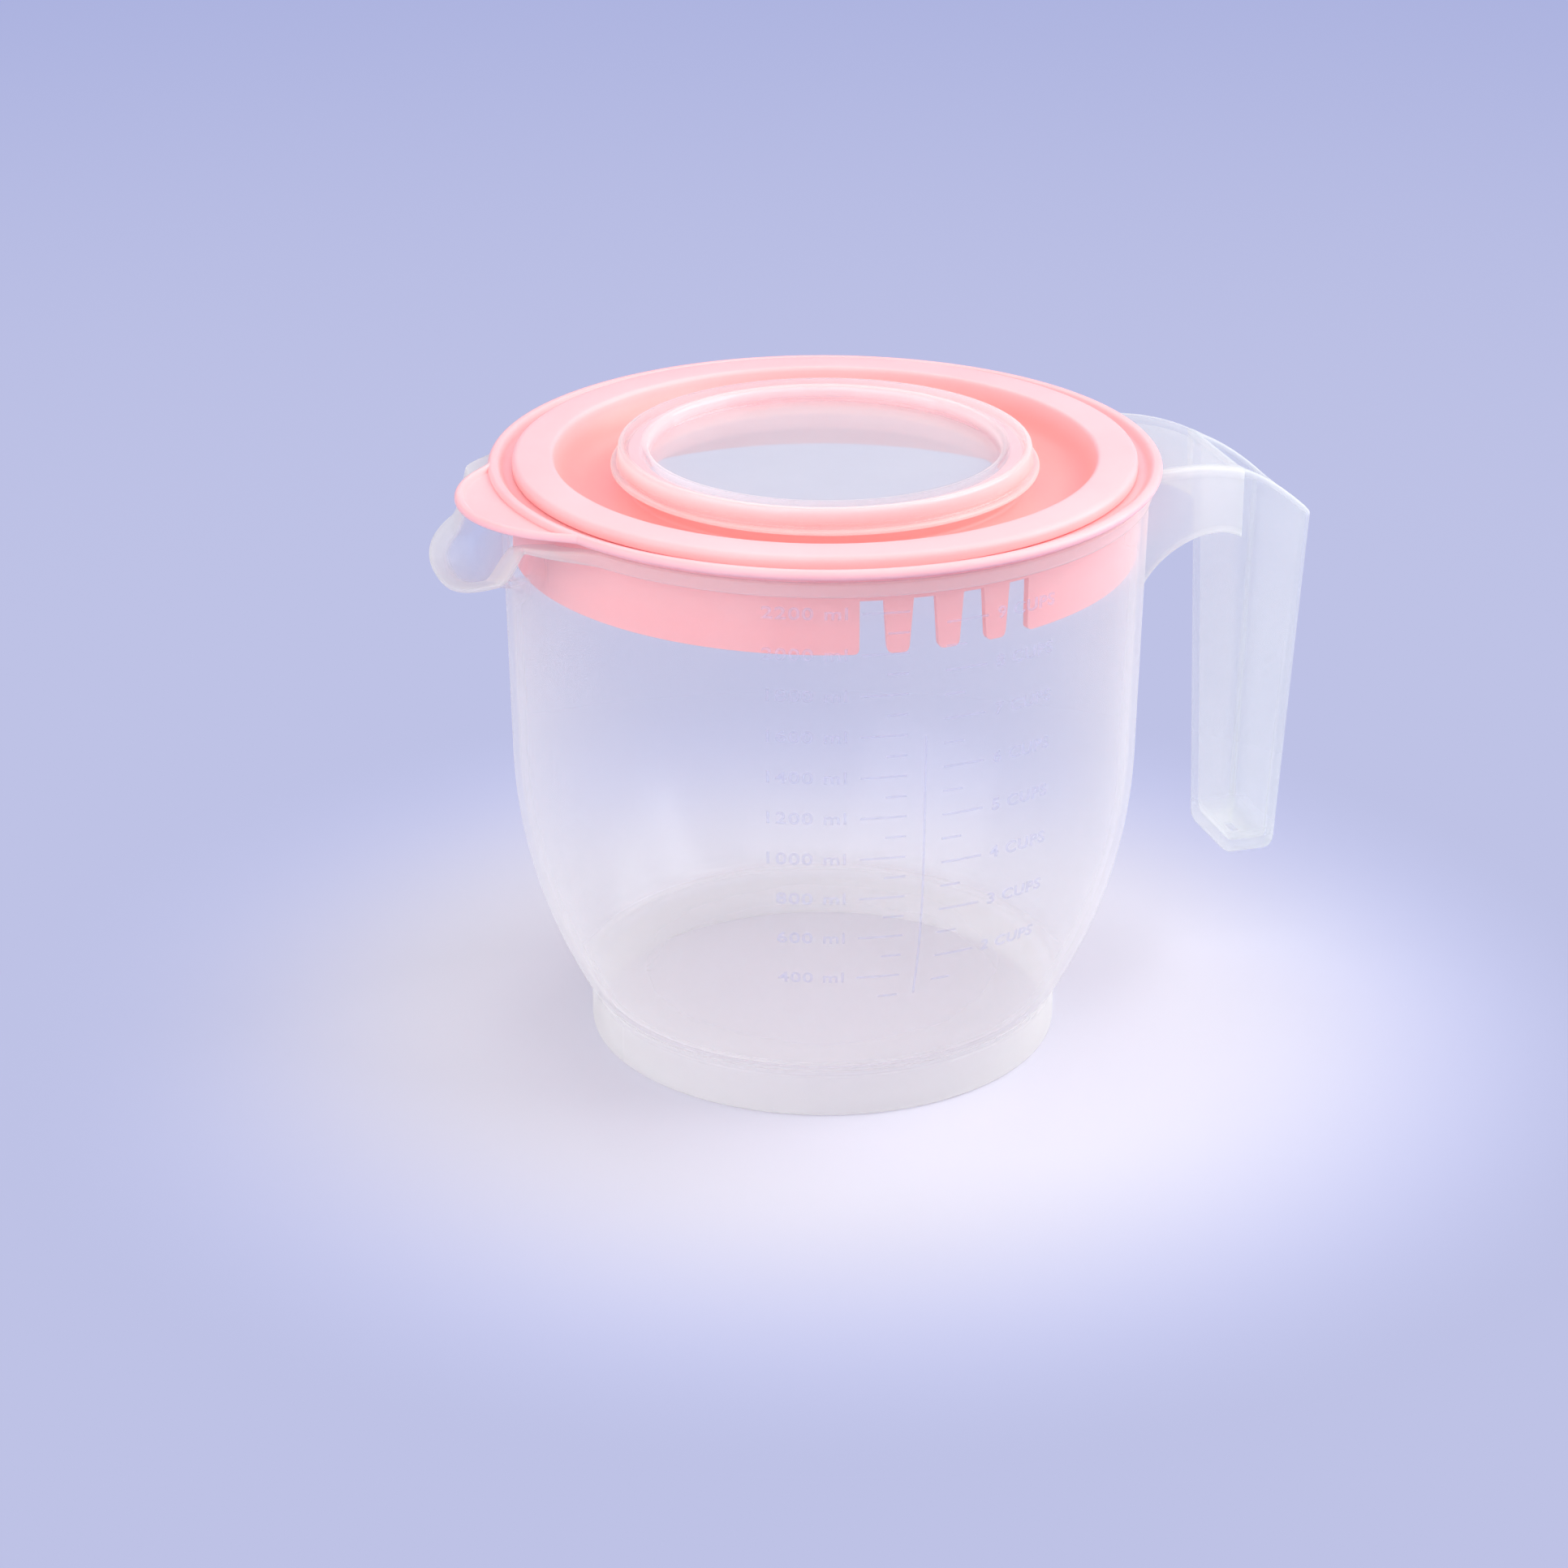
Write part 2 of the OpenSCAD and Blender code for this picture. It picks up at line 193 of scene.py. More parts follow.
def linear(code):
    """An sRGB hex colour as linear red, green, blue and alpha."""
    parts = [int(code[i:i + 2], 16) / 255 for i in (1, 3, 5)]
    return [c / 12.92 if c <= 0.04045 else ((c + 0.055) / 1.055) ** 2.4 for c in parts] + [1]


def add(tree, kind, links=None, values=None, **settings):
    """Adds a node with its settings, its plain values and what links into it."""
    node = tree.nodes.new(kind)
    for name, value in settings.items():
        setattr(node, name, value)
    for name, value in (values or {}).items():
        node.inputs[name].default_value = value
    for name, source in (links or {}).items():
        tree.links.new(source, node.inputs[name])
    return node


def new_material(name):
    """An empty material and its node tree."""
    material = bpy.data.materials.new(name)
    material.use_nodes = True
    material.node_tree.nodes.clear()
    return material, material.node_tree


def noise_of(tree, size, detail):
    """Noise whose features are about that many millimetres across."""
    place = add(tree, "ShaderNodeTexCoord")
    return add(
        tree, "ShaderNodeTexNoise", {"Vector": place.outputs["Object"]},
        {"Scale": 1 / (size * MM), "Detail": detail, "Roughness": 0.5},
    ).outputs["Fac"]


def calculate(tree, operation, *inputs, clamp=False):
    """What a math node makes of plain numbers and what other nodes give."""
    links = {}
    values = {}
    for i, source in enumerate(inputs):
        plain = isinstance(source, (int, float))
        (values if plain else links)[i] = source
    return add(tree, "ShaderNodeMath", links, values, operation=operation, use_clamp=clamp).outputs[0]


def ramp(tree, factor, low, high, places=(0, 1)):
    """A colour that goes from low to high between two places of a factor."""
    node = add(tree, "ShaderNodeValToRGB", {"Fac": factor})
    for element, colour, place in zip(node.color_ramp.elements, (low, high), places):
        element.position = place
        element.color = linear(colour)
    return node.outputs[0]


def milky_plastic(name, tint, haze, edge_haze, cloud_haze, shine, roughness):
    """Milky natural plastic, moulded smooth: it lets most light straight through, scatters some of it as a
    bluish white haze that thickens where the wall is seen edge on or a point is cloudy, and shines softly."""
    material, tree = new_material(name)
    facing = add(tree, "ShaderNodeLayerWeight", values={"Blend": 0.5}).outputs["Facing"]
    grazing = calculate(tree, "POWER", facing, EDGE_POWER)
    cloud_and_painted_shade = add(tree, "ShaderNodeAttribute", attribute_name="cloud_and_painted_shade").outputs["Fac"]
    mottle = add(
        tree, "ShaderNodeMapRange", {"Value": noise_of(tree, MOTTLE_SIZE, 3)},
        {"From Min": 0.3, "From Max": 0.7, "To Min": haze * (1 - MOTTLE), "To Max": haze * (1 + MOTTLE)},
    ).outputs[0]
    edges = calculate(tree, "MULTIPLY_ADD", grazing, edge_haze, mottle)
    share = calculate(tree, "MULTIPLY_ADD", cloud_and_painted_shade, cloud_haze, edges, clamp=True)
    ripple = add(
        tree, "ShaderNodeBump", {"Height": noise_of(tree, RIPPLE_SIZE, 2)},
        {"Strength": 0.06, "Distance": 0.4 * MM},
    ).outputs["Normal"]
    lit = add(tree, "ShaderNodeBsdfDiffuse", {"Normal": ripple}, {"Color": linear(tint)})
    lit_through = add(tree, "ShaderNodeBsdfTranslucent", {"Normal": ripple}, {"Color": linear(tint)})
    scatter = add(tree, "ShaderNodeMixShader", {1: lit.outputs[0], 2: lit_through.outputs[0]}, {0: 0.5})
    straight = add(tree, "ShaderNodeBsdfTransparent", values={"Color": linear("#FFFFFF")})
    wall = add(tree, "ShaderNodeMixShader", {0: share, 1: straight.outputs[0], 2: scatter.outputs[0]})
    rise = calculate(tree, "POWER", facing, SHINE_POWER)
    mirror = calculate(tree, "MULTIPLY_ADD", rise, SHINE_GRAZING * shine, SHINE_FACING * shine)
    gloss = add(
        tree, "ShaderNodeBsdfAnisotropic", {"Normal": ripple},
        {"Color": linear("#FFFFFF"), "Roughness": roughness},
    )
    surface = add(tree, "ShaderNodeMixShader", {0: mirror, 1: wall.outputs[0], 2: gloss.outputs[0]})
    add(tree, "ShaderNodeOutputMaterial", {"Surface": surface.outputs[0]})
    return material


def pink_plastic():
    """Pigmented polypropylene, moulded with a satin tool: opaque pale pink with a little light bleeding
    under its skin, and a soft, faintly uneven gloss. Where it is sunk, a deeper pink is mixed in as painted
    shade."""
    material, tree = new_material("pigmented_polypropylene")
    shade = ramp(tree, noise_of(tree, SHADE_SIZE, 3), "#FFBDBF", "#FFC3C5", (0.35, 0.65))
    # Painted shade: a point attribute mixes the pink towards a deeper pink (#FCAAA5) in the trough and on the
    # skirt
    sunk = add(tree, "ShaderNodeAttribute", attribute_name="cloud_and_painted_shade")
    pink = add(
        tree, "ShaderNodeMixRGB", {"Fac": sunk.outputs["Fac"], "Color1": shade},
        {"Color2": linear("#FCAAA5")},
    )
    rough = add(
        tree, "ShaderNodeMapRange", {"Value": noise_of(tree, GLOSS_SIZE, 4)},
        {"From Min": 0.3, "From Max": 0.7, "To Min": 0.32, "To Max": 0.38},
    )
    skin = add(
        tree, "ShaderNodeBump", {"Height": noise_of(tree, GRAIN_SIZE, 2)},
        {"Strength": 0.02, "Distance": 0.1 * MM},
    )
    plastic = add(
        tree, "ShaderNodeBsdfPrincipled",
        {"Base Color": pink.outputs[0], "Roughness": rough.outputs[0], "Normal": skin.outputs[0]},
        {"IOR": 1.49, "Specular IOR Level": 0.3, "Subsurface Weight": 0.12,
         "Subsurface Radius": (1.0, 0.4, 0.35), "Subsurface Scale": 0.8 * MM},
    )
    add(tree, "ShaderNodeOutputMaterial", {"Surface": plastic.outputs[0]})
    return material


def seen_rays(tree):
    """1 for rays that the camera sends, straight or by way of a shine or a clear wall, and 0 for light."""
    path = add(tree, "ShaderNodeLightPath")
    shine = calculate(tree, "MAXIMUM", path.outputs["Is Camera Ray"], path.outputs["Is Glossy Ray"])
    return calculate(tree, "MAXIMUM", shine, path.outputs["Is Transmission Ray"])


def floor_paint():
    """Matt painted board: nearly white under the jug, turning to lavender away from it. What lies further
    off shows its lavender evenly, and lights nothing."""
    material, tree = new_material("painted_board")
    place = add(tree, "ShaderNodeTexCoord")
    distance = add(tree, "ShaderNodeVectorMath", {0: place.outputs["Object"]}, operation="LENGTH")

    def fade(start, end):
        return add(
            tree, "ShaderNodeMapRange", {"Value": distance.outputs["Value"]},
            {"From Min": start * MM, "From Max": end * MM}, interpolation_type="SMOOTHSTEP",
        ).outputs[0]

    lavender = fade(90, 220)
    paint = add(
        tree, "ShaderNodeBsdfPrincipled", {"Base Color": ramp(tree, lavender, "#D2D1DD", "#BFC3E6")},
        {"Roughness": 0.8, "Specular IOR Level": 0.2},
    )
    far_tint = ramp(tree, fade(300, 1600), "#BEC2E6", "#AAB1DF")
    far = add(tree, "ShaderNodeEmission", {"Color": far_tint}, {"Strength": 1.0})
    shown = calculate(tree, "MULTIPLY", lavender, seen_rays(tree))
    surface = add(tree, "ShaderNodeMixShader", {0: shown, 1: paint.outputs[0], 2: far.outputs[0]})
    add(tree, "ShaderNodeOutputMaterial", {"Surface": surface.outputs[0]})
    return material


jug_plastic = milky_plastic(
    "natural_polypropylene", "#F6F6F0",
    haze=0.065, edge_haze=0.4, cloud_haze=0.38, shine=0.4, roughness=0.2,
)
handle_plastic = milky_plastic(
    "thick_polypropylene", "#F2F5F0",
    haze=0.18, edge_haze=0.12, cloud_haze=0.36, shine=0.5, roughness=0.2,
)
cap_plastic = milky_plastic(
    "soft_polyethylene", "#F4F3F0",
    haze=0.085, edge_haze=0.3, cloud_haze=0.48, shine=0.8, roughness=0.06,
)
mark_plastic = milky_plastic(
    "raised_polypropylene", "#DCDFF4",
    haze=0.22, edge_haze=0.0, cloud_haze=0.0, shine=0, roughness=0.3,
)
lid_plastic = pink_plastic()


# Mesh helpers

ROUNDING_STEPS = 4
# The most of a side that a rounding takes
ROUNDING_LIMIT = 0.48
SHARP_ANGLE = 35


def turned(radius, degrees, z):
    """A point at that radius, azimuth and height."""
    angle = math.radians(degrees)
    return Vector((radius * math.cos(angle), radius * math.sin(angle), z))


def soften(corners, steps=ROUNDING_STEPS):
    """Points along a line of corners, each a point and how far its rounding reaches."""
    corners = [(Vector(point), reach) for point, reach in corners]
    line = []
    for i, (corner, reach) in enumerate(corners):
        if reach == 0:
            line.append(corner)
            continue
        back = corners[i - 1][0] - corner
        ahead = corners[(i + 1) % len(corners)][0] - corner
        start = corner + back.normalized() * min(reach, back.length * ROUNDING_LIMIT)
        end = corner + ahead.normalized() * min(reach, ahead.length * ROUNDING_LIMIT)
        for k in range(steps + 1):
            t = k / steps
            line.append(start * (1 - t) ** 2 + corner * (2 * t * (1 - t)) + end * t ** 2)
    return line


def clouded(corners, steps=ROUNDING_STEPS):
    """The same for corners that also say how cloudy the plastic looks, and the cloud of each point."""
    line = soften([(point, reach) for point, reach, cloud_and_painted_shade in corners], steps)
    clouds_and_painted_shades = []
    for point, reach, cloud_and_painted_shade in corners:
        clouds_and_painted_shades += [cloud_and_painted_shade] * (steps + 1 if reach else 1)
    return line, clouds_and_painted_shades


def arc(centre, radius, first, last, steps):
    """Flat points along an arc, from one angle to another in degrees."""
    angles = [math.radians(first + (last - first) * i / steps) for i in range(steps + 1)]
    return [Vector((centre[0] + radius * math.cos(a), centre[1] + radius * math.sin(a))) for a in angles]


def between(low, high, share):
    """A share of the way from low to high."""
    return low + (high - low) * share


def smooth_step(low, high, value):
    """0 below low, 1 above high, and an easy climb between them."""
    t = min(max((value - low) / (high - low), 0), 1)
    return t * t * (3 - 2 * t)


def new_object(name, data):
    """An object in the scene."""
    made = bpy.data.objects.new(name, data)
    bpy.context.scene.collection.objects.link(made)
    return made


def evaluated_mesh(source):
    """A plain mesh of an object as its modifiers or its curve make it."""
    ready = source.evaluated_get(bpy.context.evaluated_depsgraph_get())
    return bpy.data.meshes.new_from_object(ready)


def set_values(mesh, name, values):
    """Gives each point of a mesh a value of its own."""
    mesh.attributes.new(name, "FLOAT", "POINT").data.foreach_set("value", values)


def placed(name, *meshes):
    """One object from meshes that share a material."""
    shape = bmesh.new()
    for mesh in meshes:
        shape.from_mesh(mesh)
    shape.to_mesh(meshes[0])
    shape.free()
    return new_object(name, meshes[0])


def shaded(mesh, sharp):
    """Turns a mesh's faces outwards and shades it smooth, up to an angle in degrees."""
    shape = bmesh.new()
    shape.from_mesh(mesh)
    bmesh.ops.recalc_face_normals(shape, faces=shape.faces)
    shape.to_mesh(mesh)
    shape.free()
    mesh.shade_smooth()
    mesh.set_sharp_from_angle(angle=math.radians(sharp))
    return mesh


def skin_mesh(points, faces, material, clouds_and_painted_shades=(), sharp=SHARP_ANGLE):
    """A shaded mesh from points in millimetres."""
    mesh = bpy.data.meshes.new("skin")
    mesh.from_pydata([Vector(p) * MM for p in points], [], faces)
    # Per-point values: haze for the milky plastics, painted shade for the pink one
    if clouds_and_painted_shades:
        set_values(mesh, "cloud_and_painted_shade", clouds_and_painted_shades)
    mesh.materials.append(material)
    return shaded(mesh, sharp)


def skin_round(columns):
    """Points and faces of a skin round columns that all start and end at the same two poles."""
    inner = len(columns[0]) - 2
    points = [p for column in columns for p in column[1:-1]]
    first = len(points)
    points += [columns[0][0], columns[0][-1]]
    faces = []
    for i in range(len(columns)):
        here = i * inner
        there = (i + 1) % len(columns) * inner
        faces += [(here + j, there + j, there + j + 1, here + j + 1) for j in range(inner - 1)]
        faces += [(first, there, here), (first + 1, here + inner - 1, there + inner - 1)]
    return points, faces


def folded(loop):
    """Faces that close a loop folded in two, each between two neighbours and the two across from them."""
    faces = []
    for i in range((len(loop) - 1) // 2):
        face = (loop[i], loop[i + 1], loop[-2 - i], loop[-1 - i])
        faces.append(tuple(dict.fromkeys(face)))
    return faces


def skin_along(loops):
    """Points and faces of a skin along closed loops, with a cap on the first and the last."""
    size = len(loops[0])
    points = [p for loop in loops for p in loop]
    faces = []
    for i in range(len(loops) - 1):
        here = i * size
        there = here + size
        faces += [(here + j, here + (j + 1) % size, there + (j + 1) % size, there + j) for j in range(size)]
    last = len(points) - size
    faces += folded(range(size)) + folded([last + j for j in reversed(range(size))])
    return points, faces


# Geometry Nodes trees


def new_tree(name, inputs):
    """A geometry tree with the named inputs beside its geometry and material, and its input node."""
    tree = bpy.data.node_groups.new(name, "GeometryNodeTree")
    tree.interface.new_socket("Geometry", in_out="OUTPUT", socket_type="NodeSocketGeometry")
    for label, kind in {"Geometry": "Geometry", **inputs, "Material": "Material"}.items():
        tree.interface.new_socket(label, in_out="INPUT", socket_type=f"NodeSocket{kind}")
    return tree, add(tree, "NodeGroupInput")


def end_tree(tree, given, geometry):
    """Ends a tree with plain geometry in the given material."""
    whole = add(tree, "GeometryNodeRealizeInstances", {"Geometry": geometry})
    dressed = add(
        tree, "GeometryNodeSetMaterial",
        {"Geometry": whole.outputs[0], "Material": given.outputs["Material"]},
    )
    add(tree, "NodeGroupOutput", {"Geometry": dressed.outputs[0]})


def turning_tree():
    """Turns a flat outline round the axis, drawn as radius less the path's radius and as height down."""
    tree, given = new_tree("Turned moulding", {"Segments": "Int", "Path radius": "Float"})
    outline = add(tree, "GeometryNodeMeshToCurve", {"Mesh": given.outputs["Geometry"]})
    path = add(
        tree, "GeometryNodeCurvePrimitiveCircle",
        {"Resolution": given.outputs["Segments"], "Radius": given.outputs["Path radius"]},
    )
    turned_skin = add(
        tree, "GeometryNodeCurveToMesh", {"Curve": path.outputs[0], "Profile Curve": outline.outputs[0]},
    )
    closed = add(
        tree, "GeometryNodeMergeByDistance", {"Geometry": turned_skin.outputs[0]}, {"Distance": 0.001 * MM},
    )
    end_tree(tree, given, closed.outputs[0])
    return tree


def tick_tree():
    """Lays a raised line at each point, as long as the point's length attribute says."""
    tree, given = new_tree("Scale lines", {"Line width": "Float", "Relief": "Float"})

    def value_of(name):
        return add(
            tree, "GeometryNodeInputNamedAttribute", values={"Name": name}, data_type="FLOAT",
        ).outputs[0]

    bar = add(tree, "GeometryNodeMeshCube", values={"Size": (1, 1, 1), "Vertices X": 9, "Vertices Y": 9})
    tall = calculate(tree, "MAXIMUM", value_of("height"), given.outputs["Line width"])
    parts = {"X": value_of("length"), "Y": tall, "Z": given.outputs["Relief"]}
    size = add(tree, "ShaderNodeCombineXYZ", parts)
    laid = add(
        tree, "GeometryNodeInstanceOnPoints",
        {"Points": given.outputs["Geometry"], "Instance": bar.outputs[0], "Scale": size.outputs[0]},
    )
    end_tree(tree, given, laid.outputs[0])
    return tree


def grown(mesh, tree, values):
    """The plain mesh that a tree makes of a mesh."""
    seed = new_object("seed", mesh)
    modifier = seed.modifiers.new("grow", "NODES")
    modifier.node_group = tree
    keys = {item.name: item.identifier for item in tree.interface.items_tree if item.in_out == "INPUT"}
    for label, value in values.items():
        modifier[keys[label]] = value
    made = evaluated_mesh(seed)
    seed.modifiers.remove(modifier)
    bpy.data.objects.remove(seed)
    return made


TURNING = turning_tree()
TICKS = tick_tree()
PATH_RADIUS = 10
TURNING_SEGMENTS = 192


def turned_mesh(outline, material, closed=True, clouds_and_painted_shades=(), sharp=SHARP_ANGLE):
    """A mesh turned from an outline of radius and height. An open outline starts and ends on the axis."""
    count = len(outline)
    edges = [(i, (i + 1) % count) for i in range(count if closed else count - 1)]
    flat = bpy.data.meshes.new("outline")
    flat.from_pydata([((p[0] - PATH_RADIUS) * MM, -p[1] * MM, 0) for p in outline], edges, [])
    # Per-point values: haze for the milky plastics, painted shade for the pink one
    if clouds_and_painted_shades:
        set_values(flat, "cloud_and_painted_shade", clouds_and_painted_shades)
    mesh = grown(flat, TURNING, {
        "Segments": TURNING_SEGMENTS, "Path radius": PATH_RADIUS * MM, "Material": material,
    })
    return shaded(mesh, sharp)


# Jug: one skin from under the floor, round the foot, up the wall, over the rim or the lip, and down inside


def bowl_radius(z):
    """Outer radius of the bowl at a height."""
    if z < BELLY_HEIGHT:
        share = max(0, z - FOOT_HEIGHT) / (BELLY_HEIGHT - FOOT_HEIGHT)
        return between(FOOT_RADIUS, BELLY_RADIUS, 1 - (1 - share) ** BELLY_FULLNESS)
    return BELLY_RADIUS + (WALL_TOP_RADIUS - BELLY_RADIUS) * (z - BELLY_HEIGHT) / (RIM_LOW - BELLY_HEIGHT)


def around_spout(radius, degrees, z):
    """A point at an azimuth that is counted from the spout."""
    return turned(radius, 180 - degrees, z)


RIM_INNER = WALL_TOP_RADIUS - WALL
FLARE_ANGLE = FLARE_FALL[1]
MOUTH_ANGLE = math.degrees(math.asin(MOUTH_HALF / WALL_TOP_RADIUS))
SIDE_TURN = math.degrees(math.asin(SPOUT_WALL / WALL_TOP_RADIUS))
# How late the channel's corner climbs, and where its outside turns away from its inside
CORNER_POWER = 14
SIDE_SHARES = (0.75, 0.97)
# The least and the most that two sheets at a corner may lean together
LEAN_LEAST = -0.3
LEAN_MOST = 0.9


def swept(degrees, change, power, turn, shelf, whole):
    """How far an edge has swept at an azimuth from the spout: as a power up to the turn, and from there
    smoothly to the whole at the shelf."""
    if degrees <= turn:
        return change * (degrees / turn) ** power
    t = min((degrees - turn) / (shelf - turn), 1)
    slope = change * power / turn * (shelf - turn)
    return (change * (1 + 2 * t) + slope * t) * (1 - t) ** 2 + whole * t * t * (3 - 2 * t)


def lip_edge(degrees):
    """The band's outer edge at an azimuth from the spout: its radius, its top's height and its thickness."""
    eased = smooth_step(*FLARE_FALL, degrees)
    radius = LIP_REACH - swept(degrees, *LIP_BACK) - (LIP_REACH - LIP_BACK[-1] - RIM_RADIUS) * eased
    top = LIP_TOP + swept(degrees, *LIP_UP) + (RIM_TOP - LIP_TOP - LIP_UP[-1]) * eased
    thick = between(LIP_EDGE, SHELF_EDGE, smooth_step(LIP_UP[2], LIP_UP[3], degrees))
    return radius, top, thick + (RIM_TOP - RIM_LOW - SHELF_EDGE) * eased


def band_edge(degrees):
    """The band's inner edge at an azimuth from the spout: its radius and its height."""
    rest = (RIM_TOP - BAND_LOW - BAND_UP[-1]) * smooth_step(BAND_UP[3], FLARE_ANGLE, degrees)
    return BAND_REACH - swept(degrees, *BAND_BACK), BAND_LOW + swept(degrees, *BAND_UP) + rest


def spout_station(place):
    """The wall's azimuth inside and outside, the height of the channel's corner on the wall, the band's two
    edges, its thickness and how much of it is spout, for a place across the spout: 1 is the channel's side,
    2 the plain rim."""
    side = math.copysign(1, place)
    lip_share = min(abs(place), 1)
    flare_share = max(abs(place) - 1, 0)
    lip_angle = LIP_ROOT_ANGLE * lip_share + (FLARE_ANGLE - LIP_ROOT_ANGLE) * flare_share
    band_angle = BAND_ROOT_ANGLE * lip_share + (FLARE_ANGLE - BAND_ROOT_ANGLE) * flare_share
    across = MOUTH_HALF * (1 - (1 - lip_share) ** 2)
    bottom = MOUTH_LOW + MOUTH_ROUND - math.sqrt(MOUTH_ROUND ** 2 - across ** 2)
    full = MOUTH_LOW + MOUTH_ROUND - math.sqrt(MOUTH_ROUND ** 2 - MOUTH_HALF ** 2)
    corner = bottom + (MOUTH_SHOULDER - full) * lip_share ** CORNER_POWER
    wall_angle = math.degrees(math.asin(across / WALL_TOP_RADIUS))
    wall_angle += (FLARE_ANGLE - MOUTH_ANGLE) * flare_share
    beside = SIDE_TURN * smooth_step(*SIDE_SHARES, lip_share) * (1 - flare_share)
    lip_radius, lip_top, thick = lip_edge(lip_angle)
    band_radius, band_z = band_edge(band_angle)
    inner = around_spout(band_radius, side * band_angle, band_z)
    outer = around_spout(lip_radius, side * lip_angle, lip_top)
    return side * wall_angle, side * (wall_angle + beside), corner, inner, outer, thick, 1 - flare_share


def plain_station(degrees):
    """The same for the plain rim."""
    inner = around_spout(RIM_INNER, degrees, RIM_TOP)
    outer = around_spout(RIM_RADIUS, degrees, RIM_TOP)
    return degrees, degrees, MOUTH_SHOULDER, inner, outer, RIM_TOP - RIM_LOW, 0.0


LIP_STEPS = 96
FLARE_STEPS = 18
PLAIN_STEPS = 144


def jug_stations():
    """Every station round the jug, in order of azimuth."""
    shares = [1 + i / FLARE_STEPS for i in range(1, FLARE_STEPS)]
    lip = [math.sin(math.pi * (i / LIP_STEPS - 0.5)) for i in range(LIP_STEPS + 1)]
    places = [-s for s in reversed(shares)] + lip + shares
    plain = 360 - 2 * FLARE_ANGLE
    rest = [plain_station(FLARE_ANGLE + plain * i / PLAIN_STEPS) for i in range(PLAIN_STEPS + 1)]
    return [spout_station(place) for place in places] + rest


def sheet_offset(first, second, first_wall, second_wall):
    """How far a corner of two sheets moves when each is offset along its own way out."""
    lean = min(max(first.dot(second), LEAN_LEAST), LEAN_MOST)
    along_first = (first_wall - lean * second_wall) / (1 - lean ** 2)
    along_second = (second_wall - lean * first_wall) / (1 - lean ** 2)
    return first * along_first + second * along_second


def away(normal, guide):
    """A unit normal turned to the side of a guide."""
    unit = normal.normalized()
    return unit if unit.dot(guide) > 0 else -unit


FOOT_INNER = FOOT_RADIUS - FOOT_WALL
# Corners from under the floor, round the foot and up to the belly: radius, height, rounding and cloud
FOOT_CORNERS = [
    (0, FOOT_HEIGHT, 0, 0.1), (FOOT_INNER * 0.5, FOOT_HEIGHT, 0, 0.1), (FOOT_INNER, FOOT_HEIGHT, 1.2, 0.35),
    (FOOT_INNER, 0, 0.8, 0.75), (FOOT_RADIUS, 0, 1.0, 0.75), (FOOT_RADIUS, FOOT_HEIGHT - 0.9, 0.3, 0.75),
    (FOOT_RADIUS - 0.4, FOOT_HEIGHT - 0.3, 0.3, 0.75), (FOOT_RADIUS + 0.35, FOOT_HEIGHT + 1.2, 0.3, 0.75),
]
FOOT_STEPS = 3
BELLY_STEPS = 22
WALL_STEPS = 5
# Gaps for the roundings at the belly's low end and at the channel's corner
BELLY_GAP = 3
CORNER_GAP = 7
TRAY_CLOUD = -0.25
POLE_CLOUD = 0.05


